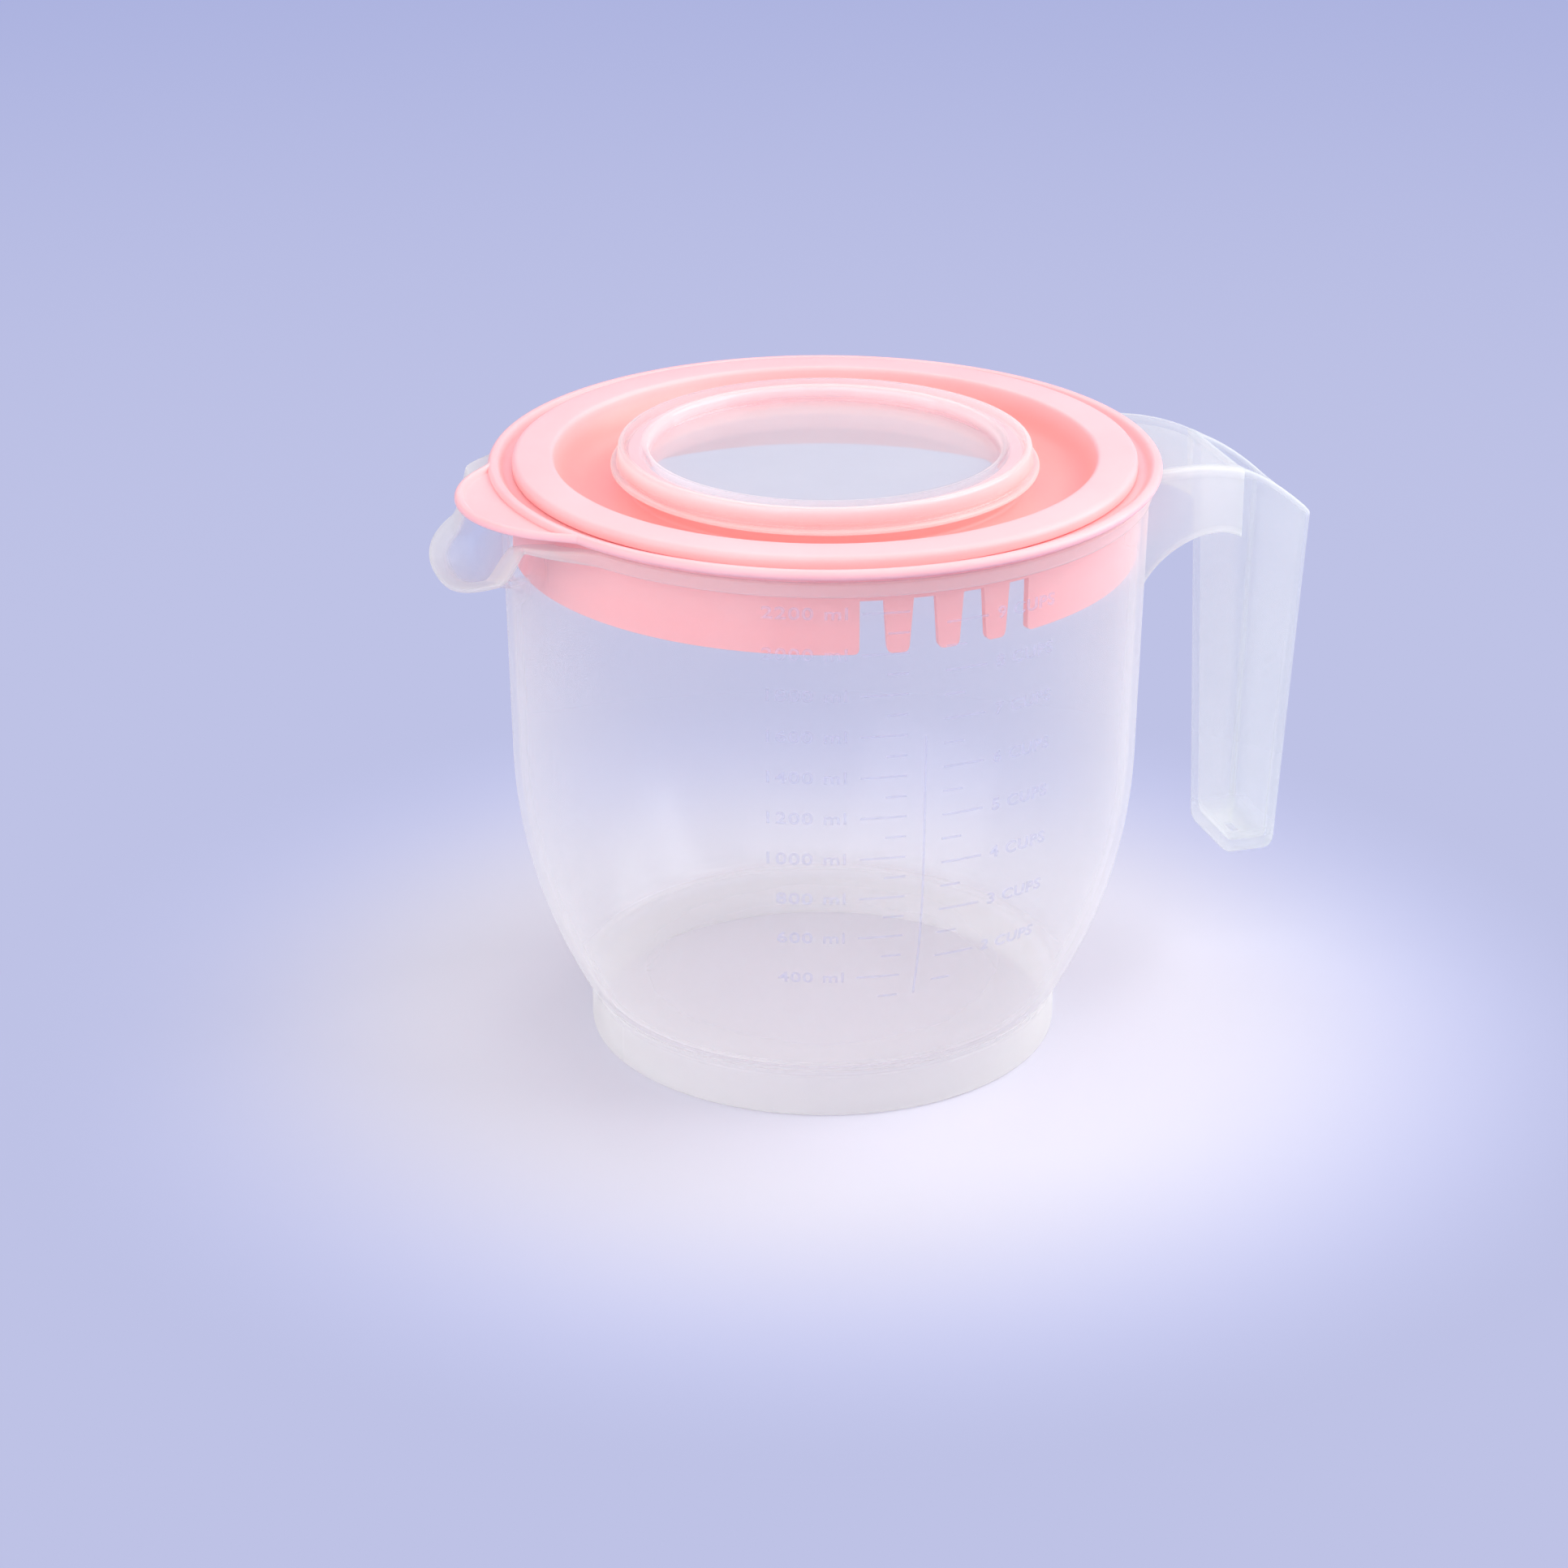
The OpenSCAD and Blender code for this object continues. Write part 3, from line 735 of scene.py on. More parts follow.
def jug_column(stations, i):
    """One column of the jug's skin, and how cloudy the plastic looks at each of its points."""
    degrees, outside_degrees, corner_z, inner, outer, band_wall, flare = stations[i]
    before = stations[i - 1]
    after = stations[(i + 1) % len(stations)]
    out = around_spout(1, degrees, 0)
    down = Vector((0, 0, -1))

    def on_wall(station):
        return around_spout(bowl_radius(station[2]) - WALL, station[0], station[2])

    def at_height(z, inset):
        return around_spout(bowl_radius(z) - inset, degrees if inset else outside_degrees, z)

    def belly(low, inset):
        heights = [low + (BELLY_HEIGHT - low) * k / BELLY_STEPS for k in range(BELLY_STEPS + 1)]
        return [at_height(z, inset) for z in heights]

    def straight(inset, share):
        return at_height(between(BELLY_HEIGHT, corner_z - CORNER_GAP, share), inset)

    corner = on_wall(stations[i])
    tray_wall = between(SPOUT_WALL, WALL, 1 - flare)
    if flare == 0:
        tray_out = out
        band_out = down
        corner_under = corner + out * WALL
    else:
        along = (on_wall(after) + after[3]) - (on_wall(before) + before[3])
        tray_out = away(along.cross(inner - corner), out + down * 2)
        band_along = (after[3] + after[4]) - (before[3] + before[4])
        band_out = away(band_along.cross(outer - inner), down)
        corner_under = corner + sheet_offset(out, tray_out, WALL, tray_wall)
    corner_under = around_spout(corner_under.xy.length, outside_degrees, corner_under.z)
    inner_under = inner + sheet_offset(tray_out, band_out, tray_wall, band_wall)
    outer_under = outer + band_out * band_wall

    foot = [(around_spout(radius, degrees, z), reach, cloud_and_painted_shade) for radius, z, reach, cloud_and_painted_shade in FOOT_CORNERS]
    below, below_clouds = clouded(foot, FOOT_STEPS)
    outside = belly(FOOT_HEIGHT + BELLY_GAP, 0) + [straight(0, k / WALL_STEPS) for k in range(1, WALL_STEPS)]
    tray_cloud = TRAY_CLOUD * flare
    over, over_clouds = clouded([
        (straight(0, 1), 0, 0), (corner_under, 3.0, 0.1),
        (corner_under.lerp(inner_under, 0.5), 0, tray_cloud),
        (inner_under, 0.7, 0.4), (outer_under, 0.7, 0.9),
        (outer, 0.7, 1.0), (outer.lerp(inner, 0.5), 0, 0.8), (inner, 0.6, 0.8),
        (inner.lerp(corner, 0.12), 0, tray_cloud), (inner.lerp(corner, 0.5), 0, tray_cloud),
        (corner, 4.0, 0.1), (straight(WALL, 1), 0, 0),
    ])
    inside = [straight(WALL, k / WALL_STEPS) for k in range(WALL_STEPS - 1, 0, -1)]
    inside += reversed(belly(FLOOR_TOP + BELLY_GAP, WALL))
    floor_edge = bowl_radius(FLOOR_TOP) - WALL
    within, within_clouds = clouded([
        (inside[-1], 0, 0.15),
        (around_spout(floor_edge, degrees, FLOOR_TOP), 2.5, 0.4),
        (around_spout(floor_edge * 0.5, degrees, FLOOR_TOP), 0, POLE_CLOUD),
        (Vector((0, 0, FLOOR_TOP)), 0, POLE_CLOUD),
    ], FOOT_STEPS)
    column = below + outside + over + inside + within[1:]
    clouds_and_painted_shades = below_clouds + [0.3] + [0.0] * (len(outside) - 1) + over_clouds
    clouds_and_painted_shades += [0.0] * (len(inside) - 1) + within_clouds
    return column, clouds_and_painted_shades


def make_jug():
    """The jug's bowl, foot, rim and spout."""
    stations = jug_stations()
    columns, clouds_and_painted_shades = zip(*[jug_column(stations, i) for i in range(len(stations))])
    clouds_and_painted_shades = [cloud_and_painted_shade for column in clouds_and_painted_shades for cloud_and_painted_shade in column[1:-1]] + [POLE_CLOUD] * 2
    points, faces = skin_round(columns)
    return placed("jug_bowl", skin_mesh(points, faces, jug_plastic, clouds_and_painted_shades, sharp=40))


# Handle

STRAP_POWER = 2.5


def handle_top(x):
    """Height of the handle's top at a distance from the axis."""
    share = max(0, x - BELLY_RADIUS) / (GRIP_OUTER_HIGH - BELLY_RADIUS)
    return between(STRAP_TOP, GRIP_TOP, share ** STRAP_POWER)


def strap_half(x):
    """Half the width of the strap at a distance from the axis."""
    share = (x - STRAP_START) / (STRAP_MEETS - STRAP_START)
    return between(STRAP_HALF_END, STRAP_HALF_ROOT, 1 - share ** 2)


def arch_height(x):
    """Height of the arch under the strap at a distance from the axis."""
    return ARCH_BASE + math.sqrt(max(0, ARCH_RADIUS ** 2 - (x - ARCH_CENTRE) ** 2))


STRAP_STEPS = 18
PLATE_STEPS = 8
STRAP_END = GRIP_INNER_HIGH + 1.3
WALL_SUNK = 0.8
# How far the haze of the strap's edges runs into its faces, and how round they are
SIDE_EDGE = 2.2
CHANNEL_EDGE = 2
SHOULDER_EDGE = 2.6
PLATE_EDGE = 2.8
LOW_ROUND = 0.7
SHOULDER_ROUND = 1.2


def strap_loop(share):
    """One section of the strap, an upturned channel, from its root in the wall to the grip. A corner is a
    place across the strap, a height, a rounding and a cloud."""
    root = math.sqrt((WALL_TOP_RADIUS - WALL_SUNK) ** 2 - STRAP_HALF_ROOT ** 2)
    x = between(root, STRAP_END, share)
    half = strap_half(x)
    top = handle_top(x)
    low = arch_height(x)
    inner = half - HANDLE_WALL
    under = top - HANDLE_WALL

    def at(y, z):
        start = math.sqrt((bowl_radius(min(z, RIM_LOW)) - WALL_SUNK) ** 2 - y ** 2)
        return Vector((between(start, STRAP_END, share), y, z))

    def to_middle(side, height):
        return [(side * k / PLATE_STEPS, height, 0, 0.0) for k in range(PLATE_STEPS, -1, -1)]

    def both_sides(corners):
        return corners + [(-y, z, reach, cloud_and_painted_shade) for y, z, reach, cloud_and_painted_shade in reversed(corners[:-1])]

    outside = [
        (-half, low, LOW_ROUND, 1.4), (-half, low + SIDE_EDGE, 0, 0.5),
        (-half, top - SHOULDER_EDGE, 0, 0.5), (-half, top, SHOULDER_ROUND, 1.4),
    ]
    channel = [
        (inner, low, LOW_ROUND, 0.8), (inner, low + CHANNEL_EDGE, 0, 0.2),
        (inner, under - SHOULDER_EDGE, 0, 0.2), (inner, under, SHOULDER_ROUND, 0.2),
    ]
    corners = both_sides(outside + to_middle(PLATE_EDGE - half, top))
    corners += both_sides(channel + to_middle(inner - PLATE_EDGE, under))
    return clouded([(at(y, z), reach, cloud_and_painted_shade) for y, z, reach, cloud_and_painted_shade in corners])


def make_strap():
    """The strap between the rim and the grip."""
    loops, clouds_and_painted_shades = zip(*[strap_loop(i / STRAP_STEPS) for i in range(STRAP_STEPS + 1)])
    points, faces = skin_along(loops)
    return placed("handle_strap_skin", skin_mesh(points, faces, handle_plastic, sum(clouds_and_painted_shades, []), sharp=40))


CORNER_STEPS = 6
SIDE_STEPS = 8
MARK_RADIUS = 2.7
MARK_DEPTH = 0.8
MARK_CLOUD = -0.5
MARK_EDGE_CLOUD = 0.9
# How the inner corners pass and round at the strap, the least roundings, and the sides' clear ends
MEETING_PASS = 0.3
MEETING_ROUND = 0.9
INNER_ROUND = 0.3
OUTER_ROUND = 0.8
SIDE_CLEAR = 0.4
# Shares of the grip's height: where the strap starts, half the step there and the gap beside it, where
# the plain sides start and end, and the gap above the pocket's floor
ARCH_RISE = (arch_height(GRIP_INNER_HIGH) - GRIP_BOTTOM) / (handle_top(GRIP_INNER_HIGH) - GRIP_BOTTOM)
MEETING_STEP = 0.003
MEETING_GAP = 0.01
SIDE_START = 0.04
SIDE_END = 0.98
SIDE_ROWS = 16
POCKET_GAP = 0.05
# Roundings at the grip's bottom, brim and pocket floor: distance from there, inset and cloud
BOTTOM_ROUNDING = [(0.0, 4.0, 0.8), (0.3, 2.2, 0.7), (1.2, 0.9, 0.6), (2.8, 0.1, 0.4)]
BRIM_ROUNDING = [
    (0.5, 0.0, 0.9), (0.1, 0.25, 1.0), (0.0, 0.7, 1.2),
    (0.0, HANDLE_WALL - 0.7, 1.2), (0.1, HANDLE_WALL - 0.25, 1.0), (0.6, HANDLE_WALL, 0.7),
]
POCKET_ROUNDING = [(2.6, HANDLE_WALL, 0.3), (0.8, HANDLE_WALL + 0.7, 0.6), (0.0, HANDLE_WALL + 2.2, 0.8)]


def grip_loop(rise, inset):
    """One round of the grip at a share of its height, moved in by inset. Above the arch its inner corners
    spread to meet the strap."""
    half = between(GRIP_HALF_LOW, GRIP_HALF_HIGH, rise) - inset
    outer = between(GRIP_OUTER_LOW, GRIP_OUTER_HIGH, rise) - inset
    inner = between(GRIP_INNER_LOW, GRIP_INNER_HIGH, rise) + inset
    meets = rise > ARCH_RISE and inset < HANDLE_WALL / 2
    spread = STRAP_HALF_END - GRIP_HALF_HIGH + MEETING_PASS if meets else 0
    inner_round = MEETING_ROUND if meets else max(GRIP_CORNER - inset, INNER_ROUND)
    outer_round = max(GRIP_CORNER - inset, OUTER_ROUND)
    middle = inner + GRIP_CORNER + SIDE_CLEAR
    along = [outer + (middle - outer) * k / SIDE_STEPS for k in range(1, SIDE_STEPS + 1)]
    corners = [(outer, half, outer_round, 0)] + [(x, half, 0, 90) for x in along]
    corners += [(inner, half + spread, inner_round, 90), (inner, -half - spread, inner_round, 180)]
    corners += [(x, -half, 0, 270) for x in reversed(along)] + [(outer, -half, outer_round, 270)]
    loop = []
    for x, y, radius, first in corners:
        centre = (x - math.copysign(radius, x - (inner + outer) / 2), y - math.copysign(radius, y))
        for p in arc(centre, radius, first, first + 90, CORNER_STEPS) if radius else [Vector((x, y))]:
            loop.append(Vector((p.x, p.y, between(GRIP_BOTTOM, handle_top(p.x), rise))))
    return loop


def make_grip():
    """The hollow grip, closed at the bottom and open at the top, with a round sunk mark on its pocket's
    floor. A row is a share of the grip's height, an inset and a cloud."""
    tall = handle_top(GRIP_OUTER_HIGH) - GRIP_BOTTOM
    floor_rise = GRIP_FLOOR / tall
    pocket = SIDE_END - floor_rise - POCKET_GAP
    shares = [k / SIDE_ROWS for k in range(SIDE_ROWS + 1)]
    sides = [between(SIDE_START, SIDE_END, share) for share in shares]
    rows = [(height / tall, inset, cloud_and_painted_shade) for height, inset, cloud_and_painted_shade in BOTTOM_ROUNDING]
    rows.append((sides[0], 0.0, 0.3))
    rows += [(rise, 0.0, 0.0) for rise in sides[1:] if rise < ARCH_RISE - MEETING_GAP]
    rows += [(ARCH_RISE - MEETING_STEP, 0.0, 0.0), (ARCH_RISE + MEETING_STEP, 0.0, 0.0)]
    rows += [(rise, 0.0, 0.0) for rise in sides if rise > ARCH_RISE + MEETING_GAP]
    rows += [(1 - depth / tall, inset, cloud_and_painted_shade) for depth, inset, cloud_and_painted_shade in BRIM_ROUNDING]
    rows += [(SIDE_END - pocket * share, HANDLE_WALL, 0.0) for share in shares]
    rows += [(floor_rise + height / tall, inset, cloud_and_painted_shade) for height, inset, cloud_and_painted_shade in POCKET_ROUNDING]
    loops = [grip_loop(rise, inset) for rise, inset, cloud_and_painted_shade in rows]
    middle = (GRIP_INNER_LOW + GRIP_OUTER_LOW) / 2
    low_pole = Vector((middle, 0, GRIP_BOTTOM))
    mark = Vector((middle, 0, loops[-1][0].z - MARK_DEPTH))
    columns = []
    for k in range(len(loops[0])):
        towards = loops[-1][k] - mark
        towards.z = 0
        brim = mark + towards.normalized() * MARK_RADIUS
        floor_edge = brim + Vector((0, 0, MARK_DEPTH))
        columns.append([low_pole] + [loop[k] for loop in loops] + [floor_edge, brim, mark])
    clouds_and_painted_shades = ([cloud_and_painted_shade for rise, inset, cloud_and_painted_shade in rows] + [MARK_EDGE_CLOUD, MARK_CLOUD]) * len(columns)
    points, faces = skin_round(columns)
    mesh = skin_mesh(points, faces, handle_plastic, clouds_and_painted_shades + [MARK_CLOUD] * 2, sharp=75)
    return placed("handle_grip_skin", mesh)


# Moulded scale


def scale_height(volume):
    """Height of a volume's mark: the bowl's inside, filled in thin slices."""
    filled = 0
    z = FLOOR_TOP
    slice_height = 0.1
    while filled < volume:
        radius = bowl_radius(z) - WALL
        filled += math.pi * radius ** 2 * slice_height / 1000
        z += slice_height
    return z + SCALE_LIFT - SCALE_SETTLE * volume / 1000


def wrapped(mesh):
    """Lays a flat mesh, in millimetres along the wall, upwards and outwards, onto the bowl's outside."""
    for vertex in mesh.vertices:
        along, z, depth = vertex.co
        radius = bowl_radius(z) - SCALE_SUNK + depth
        degrees = SCALE_DIRECTION + math.degrees(along / BELLY_RADIUS)
        vertex.co = turned(radius, degrees, z) * MM


def scale_lines():
    """The scale's lines: long and short ones for millilitres on the left, for cups on the right, and the
    upright line between them. Each is a place along the wall, a height, a length and how tall it is."""
    lines = [(0, UPRIGHT_MIDDLE, UPRIGHT_WIDTH, UPRIGHT_HEIGHT)]
    for volume in range(300, MOST_ML + 1, 100):
        length = ML_LINE if volume % 200 == 0 else SHORT_LINE
        lines.append((-LINE_START - length / 2, scale_height(volume), length, 0))
    for half_cups in range(3, 2 * MOST_CUPS + 1):
        length = CUP_LINE if half_cups % 2 == 0 else SHORT_LINE
        lines.append((LINE_START + length / 2, scale_height(half_cups * CUP / 2), length, 0))
    flat = bpy.data.meshes.new("scale_points")
    flat.from_pydata([(x, z, SCALE_RELIEF / 2) for x, z, length, tall in lines], [], [])
    set_values(flat, "length", [row[2] for row in lines])
    set_values(flat, "height", [row[3] for row in lines])
    mesh = grown(flat, TICKS, {
        "Line width": LINE_WIDTH, "Relief": SCALE_RELIEF, "Material": mark_plastic,
    })
    mesh.materials.pop(index=0)
    wrapped(mesh)
    return mesh


def scale_word(words, place, z, stretch):
    """Raised words whose near end is at a place along the wall, drawn wider by stretch."""
    curve = bpy.data.curves.new("words", "FONT")
    curve.body = words
    curve.size = DIGIT_HEIGHT / DIGIT_SHARE
    curve.extrude = SCALE_RELIEF / 2
    curve.offset = DIGIT_WEIGHT
    curve.align_x = "RIGHT" if place < 0 else "LEFT"
    curve.align_y = "CENTER"
    curve.space_character = DIGIT_SPACING
    letters = new_object("words", curve)
    mesh = evaluated_mesh(letters)
    bpy.data.objects.remove(letters)
    for vertex in mesh.vertices:
        vertex.co.x *= stretch
        vertex.co += Vector((place, z, SCALE_RELIEF / 2))
    wrapped(mesh)
    mesh.materials.clear()
    mesh.materials.append(mark_plastic)
    mesh.shade_flat()
    return mesh


def make_scale():
    """All the scale's lines and numbers, as one raised piece."""
    marks = [scale_lines()]
    for volume in range(400, MOST_ML + 1, 200):
        marks.append(scale_word(f"{volume} ml", ML_WORDS, scale_height(volume), ML_STRETCH))
    for cups in range(2, MOST_CUPS + 1):
        marks.append(scale_word(f"{cups} CUPS", CUP_WORDS, scale_height(cups * CUP), CUP_STRETCH))
    return placed("scale_marks", *marks)


# Lid

# How large the trough's rounded lip is, the angle where its round side starts, and the depths over which
# painted shade deepens its pink
TROUGH_LIP = 2.2
TROUGH_START = -22
TROUGH_PAINTED_SHADE = (0.05, 0.7)


def make_dome():
    """The lid's raised ring, trough and collar, with painted shade deepening the pink down the trough."""
    trough_floor = DOME_TOP - TROUGH_DEPTH
    trough_under = trough_floor - LID_WALL
    centre = (TROUGH_RADIUS - TROUGH_DEPTH, DOME_TOP)
    under_start = math.degrees(math.asin(LID_WALL / (TROUGH_DEPTH + LID_WALL)))
    outline = soften([
        ((DOME_RADIUS - LID_WALL, DOME_LOW), 0), ((DOME_RADIUS, DOME_LOW), 0.3),
        ((DOME_RADIUS, DOME_TOP), 1.6), ((TROUGH_RADIUS + TROUGH_LIP, DOME_TOP), 0),
        ((TROUGH_RADIUS + 0.2, DOME_TOP), 1.9), ((TROUGH_RADIUS - 0.3, DOME_TOP - TROUGH_LIP), 0),
    ])
    outline += arc(centre, TROUGH_DEPTH, TROUGH_START, -90, 14)
    outline += soften([
        ((centre[0], trough_floor), 0), ((COLLAR_RADIUS, trough_floor), 1.0),
        ((COLLAR_RADIUS, COLLAR_TOP), 0.4), ((COLLAR_INNER, COLLAR_TOP), 0.4),
        ((COLLAR_INNER, trough_under), 0.4), ((centre[0] - 1, trough_under), 0),
    ])[1:]
    outline += arc(centre, TROUGH_DEPTH + LID_WALL, -90, -under_start, 12)
    outline.append(Vector((DOME_RADIUS - LID_WALL, DOME_TOP - LID_WALL)))
    # Painted shade: the pink is mixed towards a deeper pink the further a point lies down the trough
    painted_shades = [smooth_step(*TROUGH_PAINTED_SHADE, (DOME_TOP - p.y) / TROUGH_DEPTH) for p in outline]
    return placed("lid_dome_skin", turned_mesh(outline, lid_plastic, clouds_and_painted_shades=painted_shades))


def tab_reach(degrees):
    """How far the tab's outline reaches from the axis, eased into the edge bead on both sides."""
    angle = math.radians(degrees)
    inside = TAB_RADIUS ** 2 - (TAB_CENTRE * math.sin(angle)) ** 2
    round_reach = TAB_CENTRE * math.cos(angle) + math.sqrt(max(0, inside))
    least = BEAD_RADIUS - 0.5
    blend = 4.0
    share = min(max(0.5 + 0.5 * (round_reach - least) / blend, 0), 1)
    return least + (round_reach - least) * share + blend * share * (1 - share)


TAB_ROOT = BEAD_RADIUS - 2.6
TAB_SPAN = 27
TAB_STEPS = 72


def tab_loop(degrees):
    """One section of the tab: a plate with a raised round edge."""
    outer = tab_reach(degrees)
    edge = outer - TAB_EDGE_WIDTH
    corners = [
        (TAB_ROOT, TAB_LOW, 0), (outer - 0.3, TAB_LOW, 0.5), (outer, (TAB_LOW + TAB_EDGE_TOP) / 2, 0.5),
        (outer - 0.5, TAB_EDGE_TOP, 0.9), (edge + 0.7, TAB_EDGE_TOP, 0.9),
        (max(edge - 0.2, TAB_ROOT + 0.1), TAB_TOP, 0.5), (TAB_ROOT, TAB_TOP, 0),
    ]
    return soften([(turned(r, TAB_DIRECTION + degrees, z), reach) for r, z, reach in corners])


def make_flange():
    """The lid's edge bead and groove, with the tab that covers the spout."""
    bead_round = (BEAD_TOP - BEAD_LOW) / 2
    middle = (BEAD_RADIUS - bead_round, BEAD_LOW + bead_round)
    outline = soften([
        ((SHELF_INNER, SEAT_HEIGHT), 0), ((SEAT_OUTER, SEAT_HEIGHT), 0.2), ((SEAT_OUTER, BEAD_LOW), 0),
    ])
    outline += arc(middle, bead_round, -90, 75, 12)
    outline += soften([
        ((middle[0], BEAD_TOP), 0), ((BEAD_RADIUS - 2.4, BEAD_TOP), 1.0),
        ((GROOVE_OUTER + 0.6, GROOVE_HEIGHT), 0.8), ((SHELF_INNER, GROOVE_HEIGHT), 0),
    ])
    ring = turned_mesh(outline, lid_plastic)
    loops = [tab_loop(TAB_SPAN * (2 * i / TAB_STEPS - 1)) for i in range(TAB_STEPS + 1)]
    points, faces = skin_along(loops)
    return placed("lid_flange_skin", ring, skin_mesh(points, faces, lid_plastic))


TOOTH_SHARES = [0, 0.05, 0.12, 0.22, 0.36, 0.5, 0.64, 0.78, 0.88, 0.95, 1]
TOOTH_ROUND = 1.3
SLOT_COLUMNS = 3
SKIRT_COLUMNS = 170
# Painted shade: how far the skirt's pink is mixed towards a deeper pink, all over
SKIRT_PAINTED_SHADE = 0.45
SKIRT_SHARP = 40
SKIRT_ROWS = 8
BAND_ROWS = 3
# Turns from the ends of the skirt where its corners are round, and where its even columns start
END_TURNS = [0, 0.1, 0.3, 0.6, 1.0]
EVEN_START = 1.5


def end_rise(distance):
    """How far a lower edge rises at that distance from its rounded end."""
    gap = TOOTH_ROUND - min(distance, TOOTH_ROUND)
    return TOOTH_ROUND - math.sqrt(TOOTH_ROUND ** 2 - gap ** 2)


def slot_columns(start, gap):
    """Columns across a slot of the comb, where nothing hangs below the root."""
    turns = [start + gap * j / SLOT_COLUMNS for j in range(1, SLOT_COLUMNS)]
    return [(turn, turn, SLOT_TOP, False) for turn in turns]


def skirt_columns():
    """Columns round the skirt: azimuth at the comb's root and at its end, lower edge, and whether the skirt
    goes on below the root between this column and the next."""
    radius = SKIRT_RADIUS - SKIRT_WALL / 2
    per_mm = math.degrees(1 / radius)
    columns = []
    for k in (-1, 0, 1):
        middle = COMB_DIRECTION + k * TOOTH_PITCH
        for share in TOOTH_SHARES:
            side = 2 * share - 1
            edge = min(share, 1 - share) * TOOTH_END
            root = middle + side * TOOTH_ROOT / 2 * per_mm
            end = middle + side * TOOTH_END / 2 * per_mm
            columns.append((root, end, SKIRT_LOW + end_rise(edge), share < 1))
        if k < 1:
            columns += slot_columns(middle + TOOTH_ROOT / 2 * per_mm, TOOTH_PITCH - TOOTH_ROOT * per_mm)
    last_tooth = columns[-1][0]
    first = COMB_DIRECTION + COMB_HALF_ANGLE
    columns += slot_columns(last_tooth, first - last_tooth)
    span = 360 - 2 * COMB_HALF_ANGLE
    even = span - 2 * EVEN_START
    middles = [EVEN_START + even * j / SKIRT_COLUMNS for j in range(SKIRT_COLUMNS + 1)]
    for turn in END_TURNS + middles + [span - e for e in reversed(END_TURNS)]:
        edge = min(turn, span - turn) / per_mm
        columns.append((first + turn, first + turn, SKIRT_LOW + end_rise(edge), turn < span))
    start = COMB_DIRECTION - COMB_HALF_ANGLE + 360
    return columns + slot_columns(start, columns[0][0] + 360 - start)


def make_skirt():
    """The lid's hanging skirt with the comb in it: one sheet, given its thickness by Solidify. Its pink is
    deepened all over by painted shade.
    """
    radius = SKIRT_RADIUS - SKIRT_WALL / 2
    columns = skirt_columns()
    points = []
    index = {}
    for i, (root, end, low, solid) in enumerate(columns):
        hangs = solid or columns[i - 1][3]
        for j in range(BAND_ROWS + 1):
            index[i, -j] = len(points)
            points.append(turned(radius, root, SLOT_TOP + (SEAT_HEIGHT - SLOT_TOP) * j / BAND_ROWS))
        for j in range(1, SKIRT_ROWS + 1 if hangs else 1):
            z = SLOT_TOP + (low - SLOT_TOP) * j / SKIRT_ROWS
            taper = (SLOT_TOP - z) / (SLOT_TOP - SKIRT_LOW)
            index[i, j] = len(points)
            points.append(turned(radius, between(root, end, taper), z))
    faces = []
    for i, column in enumerate(columns):
        k = (i + 1) % len(columns)
        for j in range(-BAND_ROWS, SKIRT_ROWS if column[3] else 0):
            faces.append((index[i, j], index[k, j], index[k, j + 1], index[i, j + 1]))
    # Every point of the skirt gets the same painted shade
    piece = placed("lid_skirt_skin", skin_mesh(points, faces, lid_plastic, [SKIRT_PAINTED_SHADE] * len(points)))
    thick = piece.modifiers.new("thickness", "SOLIDIFY")
    thick.thickness = SKIRT_WALL * MM
    thick.offset = 0
    thick.use_even_offset = True
    mesh = evaluated_mesh(piece)
    piece.modifiers.clear()
    piece.data = mesh
    mesh.set_sharp_from_angle(angle=math.radians(SKIRT_SHARP))
    return piece


# Centre cap


def make_cap():
    """The cap: a round-topped ring over the collar with a sunken panel."""
    outline, clouds_and_painted_shades = clouded([
        ((0, CAP_PANEL_TOP), 0, 0.3), ((CAP_PANEL_EDGE, CAP_PANEL_TOP), 0, 0.3),
        ((CAP_WINDOW_RADIUS, CAP_PANEL_TOP), 0.7, 0.3), ((CAP_WINDOW_RADIUS + 0.2, CAP_TOP - 0.3), 1.2, 0.9),
        ((CAP_FLAT_INNER, CAP_TOP), 0, 0.1), ((CAP_FLAT_OUTER, CAP_TOP), 0, 0.1),
        ((CAP_RADIUS, CAP_TOP - 0.1), 0.8, 1.2), ((CAP_SPREAD, CAP_LOW + 1.4), 0.4, 0.2),
        ((CAP_FLANGE_RADIUS, CAP_LOW + 0.9), 0.4, 0.9), ((CAP_FLANGE_RADIUS, CAP_LOW), 0.4, 0.9),
        ((CAP_SOCKET_OUTER, CAP_LOW), 0.2, 0.2), ((CAP_SOCKET_OUTER, CAP_HOOD), 0.3, 0.0),
        ((CAP_SOCKET_INNER, CAP_HOOD), 0.3, 0.0), ((CAP_SOCKET_INNER, CAP_PANEL_LOW), 0.3, 0.0),
        ((CAP_PANEL_EDGE, CAP_PANEL_LOW), 0, 0.3), ((0, CAP_PANEL_LOW), 0, 0.3),
    ])
    return placed("centre_cap_skin", turned_mesh(outline, cap_plastic, closed=False, clouds_and_painted_shades=clouds_and_painted_shades, sharp=45))


# Pieces, the bodies that they ride on and the solids that they stand for


def dress(piece, body, slot, *nodes):
    """Rides a piece on its body, in place of the solids that it stands for."""
    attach(piece, body)
    if nodes:
        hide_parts(*nodes)


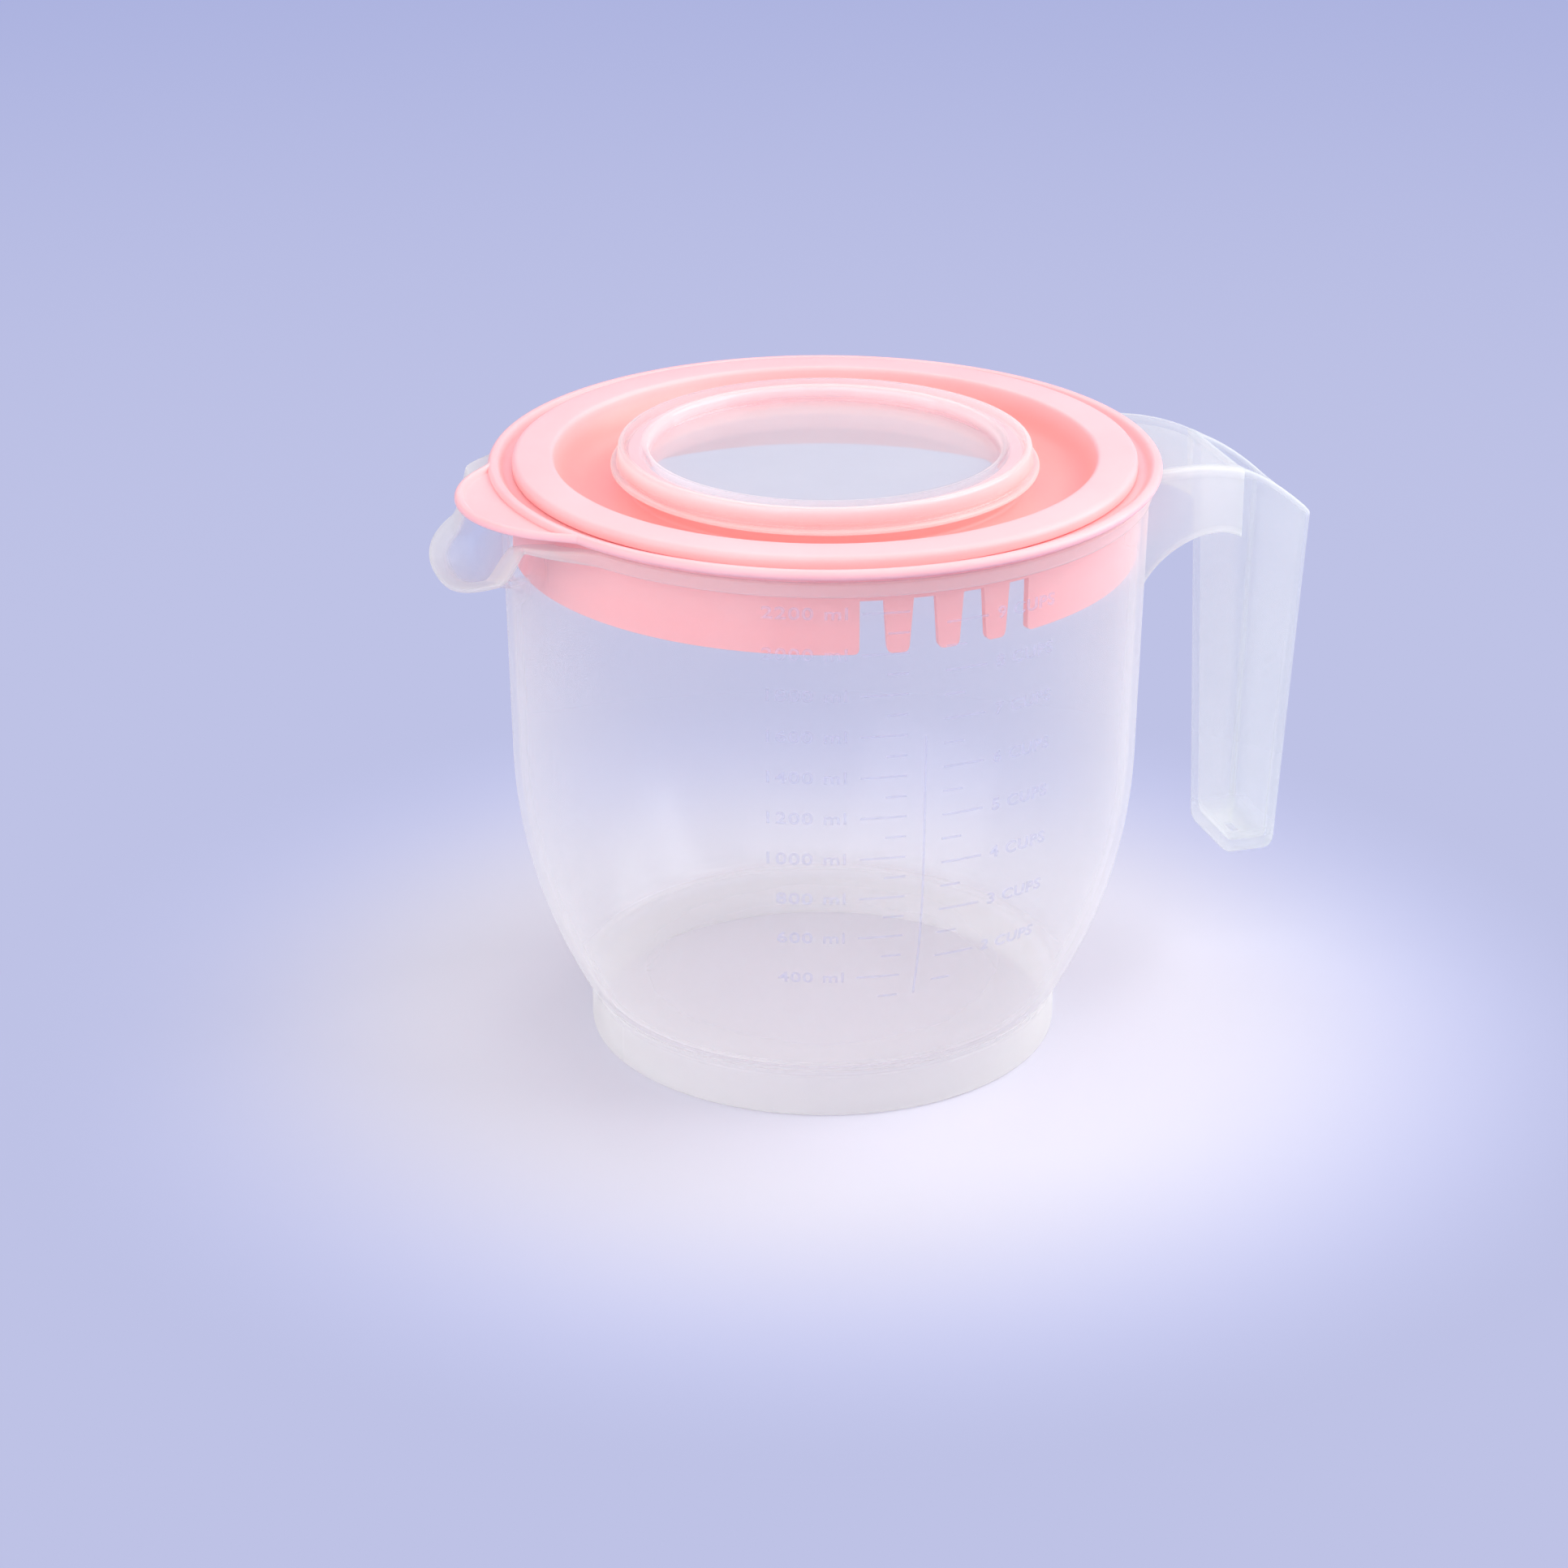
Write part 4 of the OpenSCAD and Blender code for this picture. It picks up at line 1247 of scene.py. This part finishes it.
dress(
    make_jug(), "jug", "jug_plastic",
    "foot_ring", "bowl_floor", "bowl_belly", "bowl_wall", "pouring_spout",
)
dress(make_strap(), "jug", "jug_plastic", "handle_strap")
dress(make_grip(), "jug", "jug_plastic", "handle_grip")
dress(make_scale(), "jug", "jug_plastic")
dress(make_dome(), "lid", "lid_plastic", "lid_dome")
dress(make_flange(), "lid_edge", "lid_plastic", "lid_flange")
dress(make_skirt(), "lid_edge", "lid_plastic", "skirt_band", "lid_skirt", "strainer_teeth")
dress(make_cap(), "cap", "cap_plastic", "centre_cap")


# Floor, light and camera

FLOOR_RADIUS = 5000
FLOOR_SIDES = 64
FLOOR_HEIGHT = -0.2
LAMP_DISTANCE = 1100
LAMP_AIM = 80


def make_floor():
    """A plain round floor that the jug stands on."""
    rim = [turned(FLOOR_RADIUS, 360 * i / FLOOR_SIDES, FLOOR_HEIGHT) for i in range(FLOOR_SIDES)]
    placed("floor", skin_mesh(rim, [tuple(range(FLOOR_SIDES))], floor_paint()))


def add_lamp(name, azimuth, elevation, size, watts):
    """A square soft lamp that faces the middle of the jug, from an azimuth and an elevation in degrees."""
    lamp = bpy.data.lights.new(name, "AREA")
    lamp.shape = "SQUARE"
    lamp.size = size * MM
    lamp.energy = watts
    holder = new_object(name, lamp)
    holder.visible_camera = False
    level = LAMP_DISTANCE * math.cos(math.radians(elevation))
    from_jug = turned(level, azimuth, LAMP_DISTANCE * math.sin(math.radians(elevation)))
    holder.location = (from_jug + Vector((0, 0, LAMP_AIM))) * MM
    holder.rotation_euler = (-from_jug).to_track_quat("-Z", "Y").to_euler()


def make_world():
    """An even white light all round, which shows as lavender, in shines too."""
    world = bpy.data.worlds.new("soft_room")
    world.use_nodes = True
    tree = world.node_tree
    tree.nodes.clear()
    seen = add(tree, "ShaderNodeBackground", values={"Color": linear("#AAB1DF"), "Strength": 1.0})
    light = add(tree, "ShaderNodeBackground", values={"Color": linear("#EEF1FF"), "Strength": 0.18})
    both = add(tree, "ShaderNodeMixShader", {0: seen_rays(tree), 1: light.outputs[0], 2: seen.outputs[0]})
    add(tree, "ShaderNodeOutputWorld", {"Surface": both.outputs[0]})
    bpy.context.scene.world = world


def make_camera():
    """The photograph's viewpoint."""
    data = bpy.data.cameras.new("camera")
    data.lens = 90.24
    data.sensor_width = 36
    camera = new_object("camera", data)
    camera.location = Vector((-277.7, -877.7, 464.6)) * MM
    camera.rotation_euler = [math.radians(a) for a in (66.471, 0, -16.930)]
    bpy.context.scene.camera = camera


make_floor()
make_world()
add_lamp("left", azimuth=-155, elevation=31, size=1300, watts=10.5)
add_lamp("right", azimuth=-15, elevation=33, size=1100, watts=15)
add_lamp("back", azimuth=75, elevation=55, size=900, watts=4)
add_lamp("front", azimuth=-95, elevation=45, size=1000, watts=3.5)
make_camera()
scene = bpy.context.scene
scene.view_settings.view_transform = "Standard"
scene.cycles.transparent_max_bounces = 32
scene.cycles.diffuse_bounces = 8
scene.cycles.max_bounces = 16
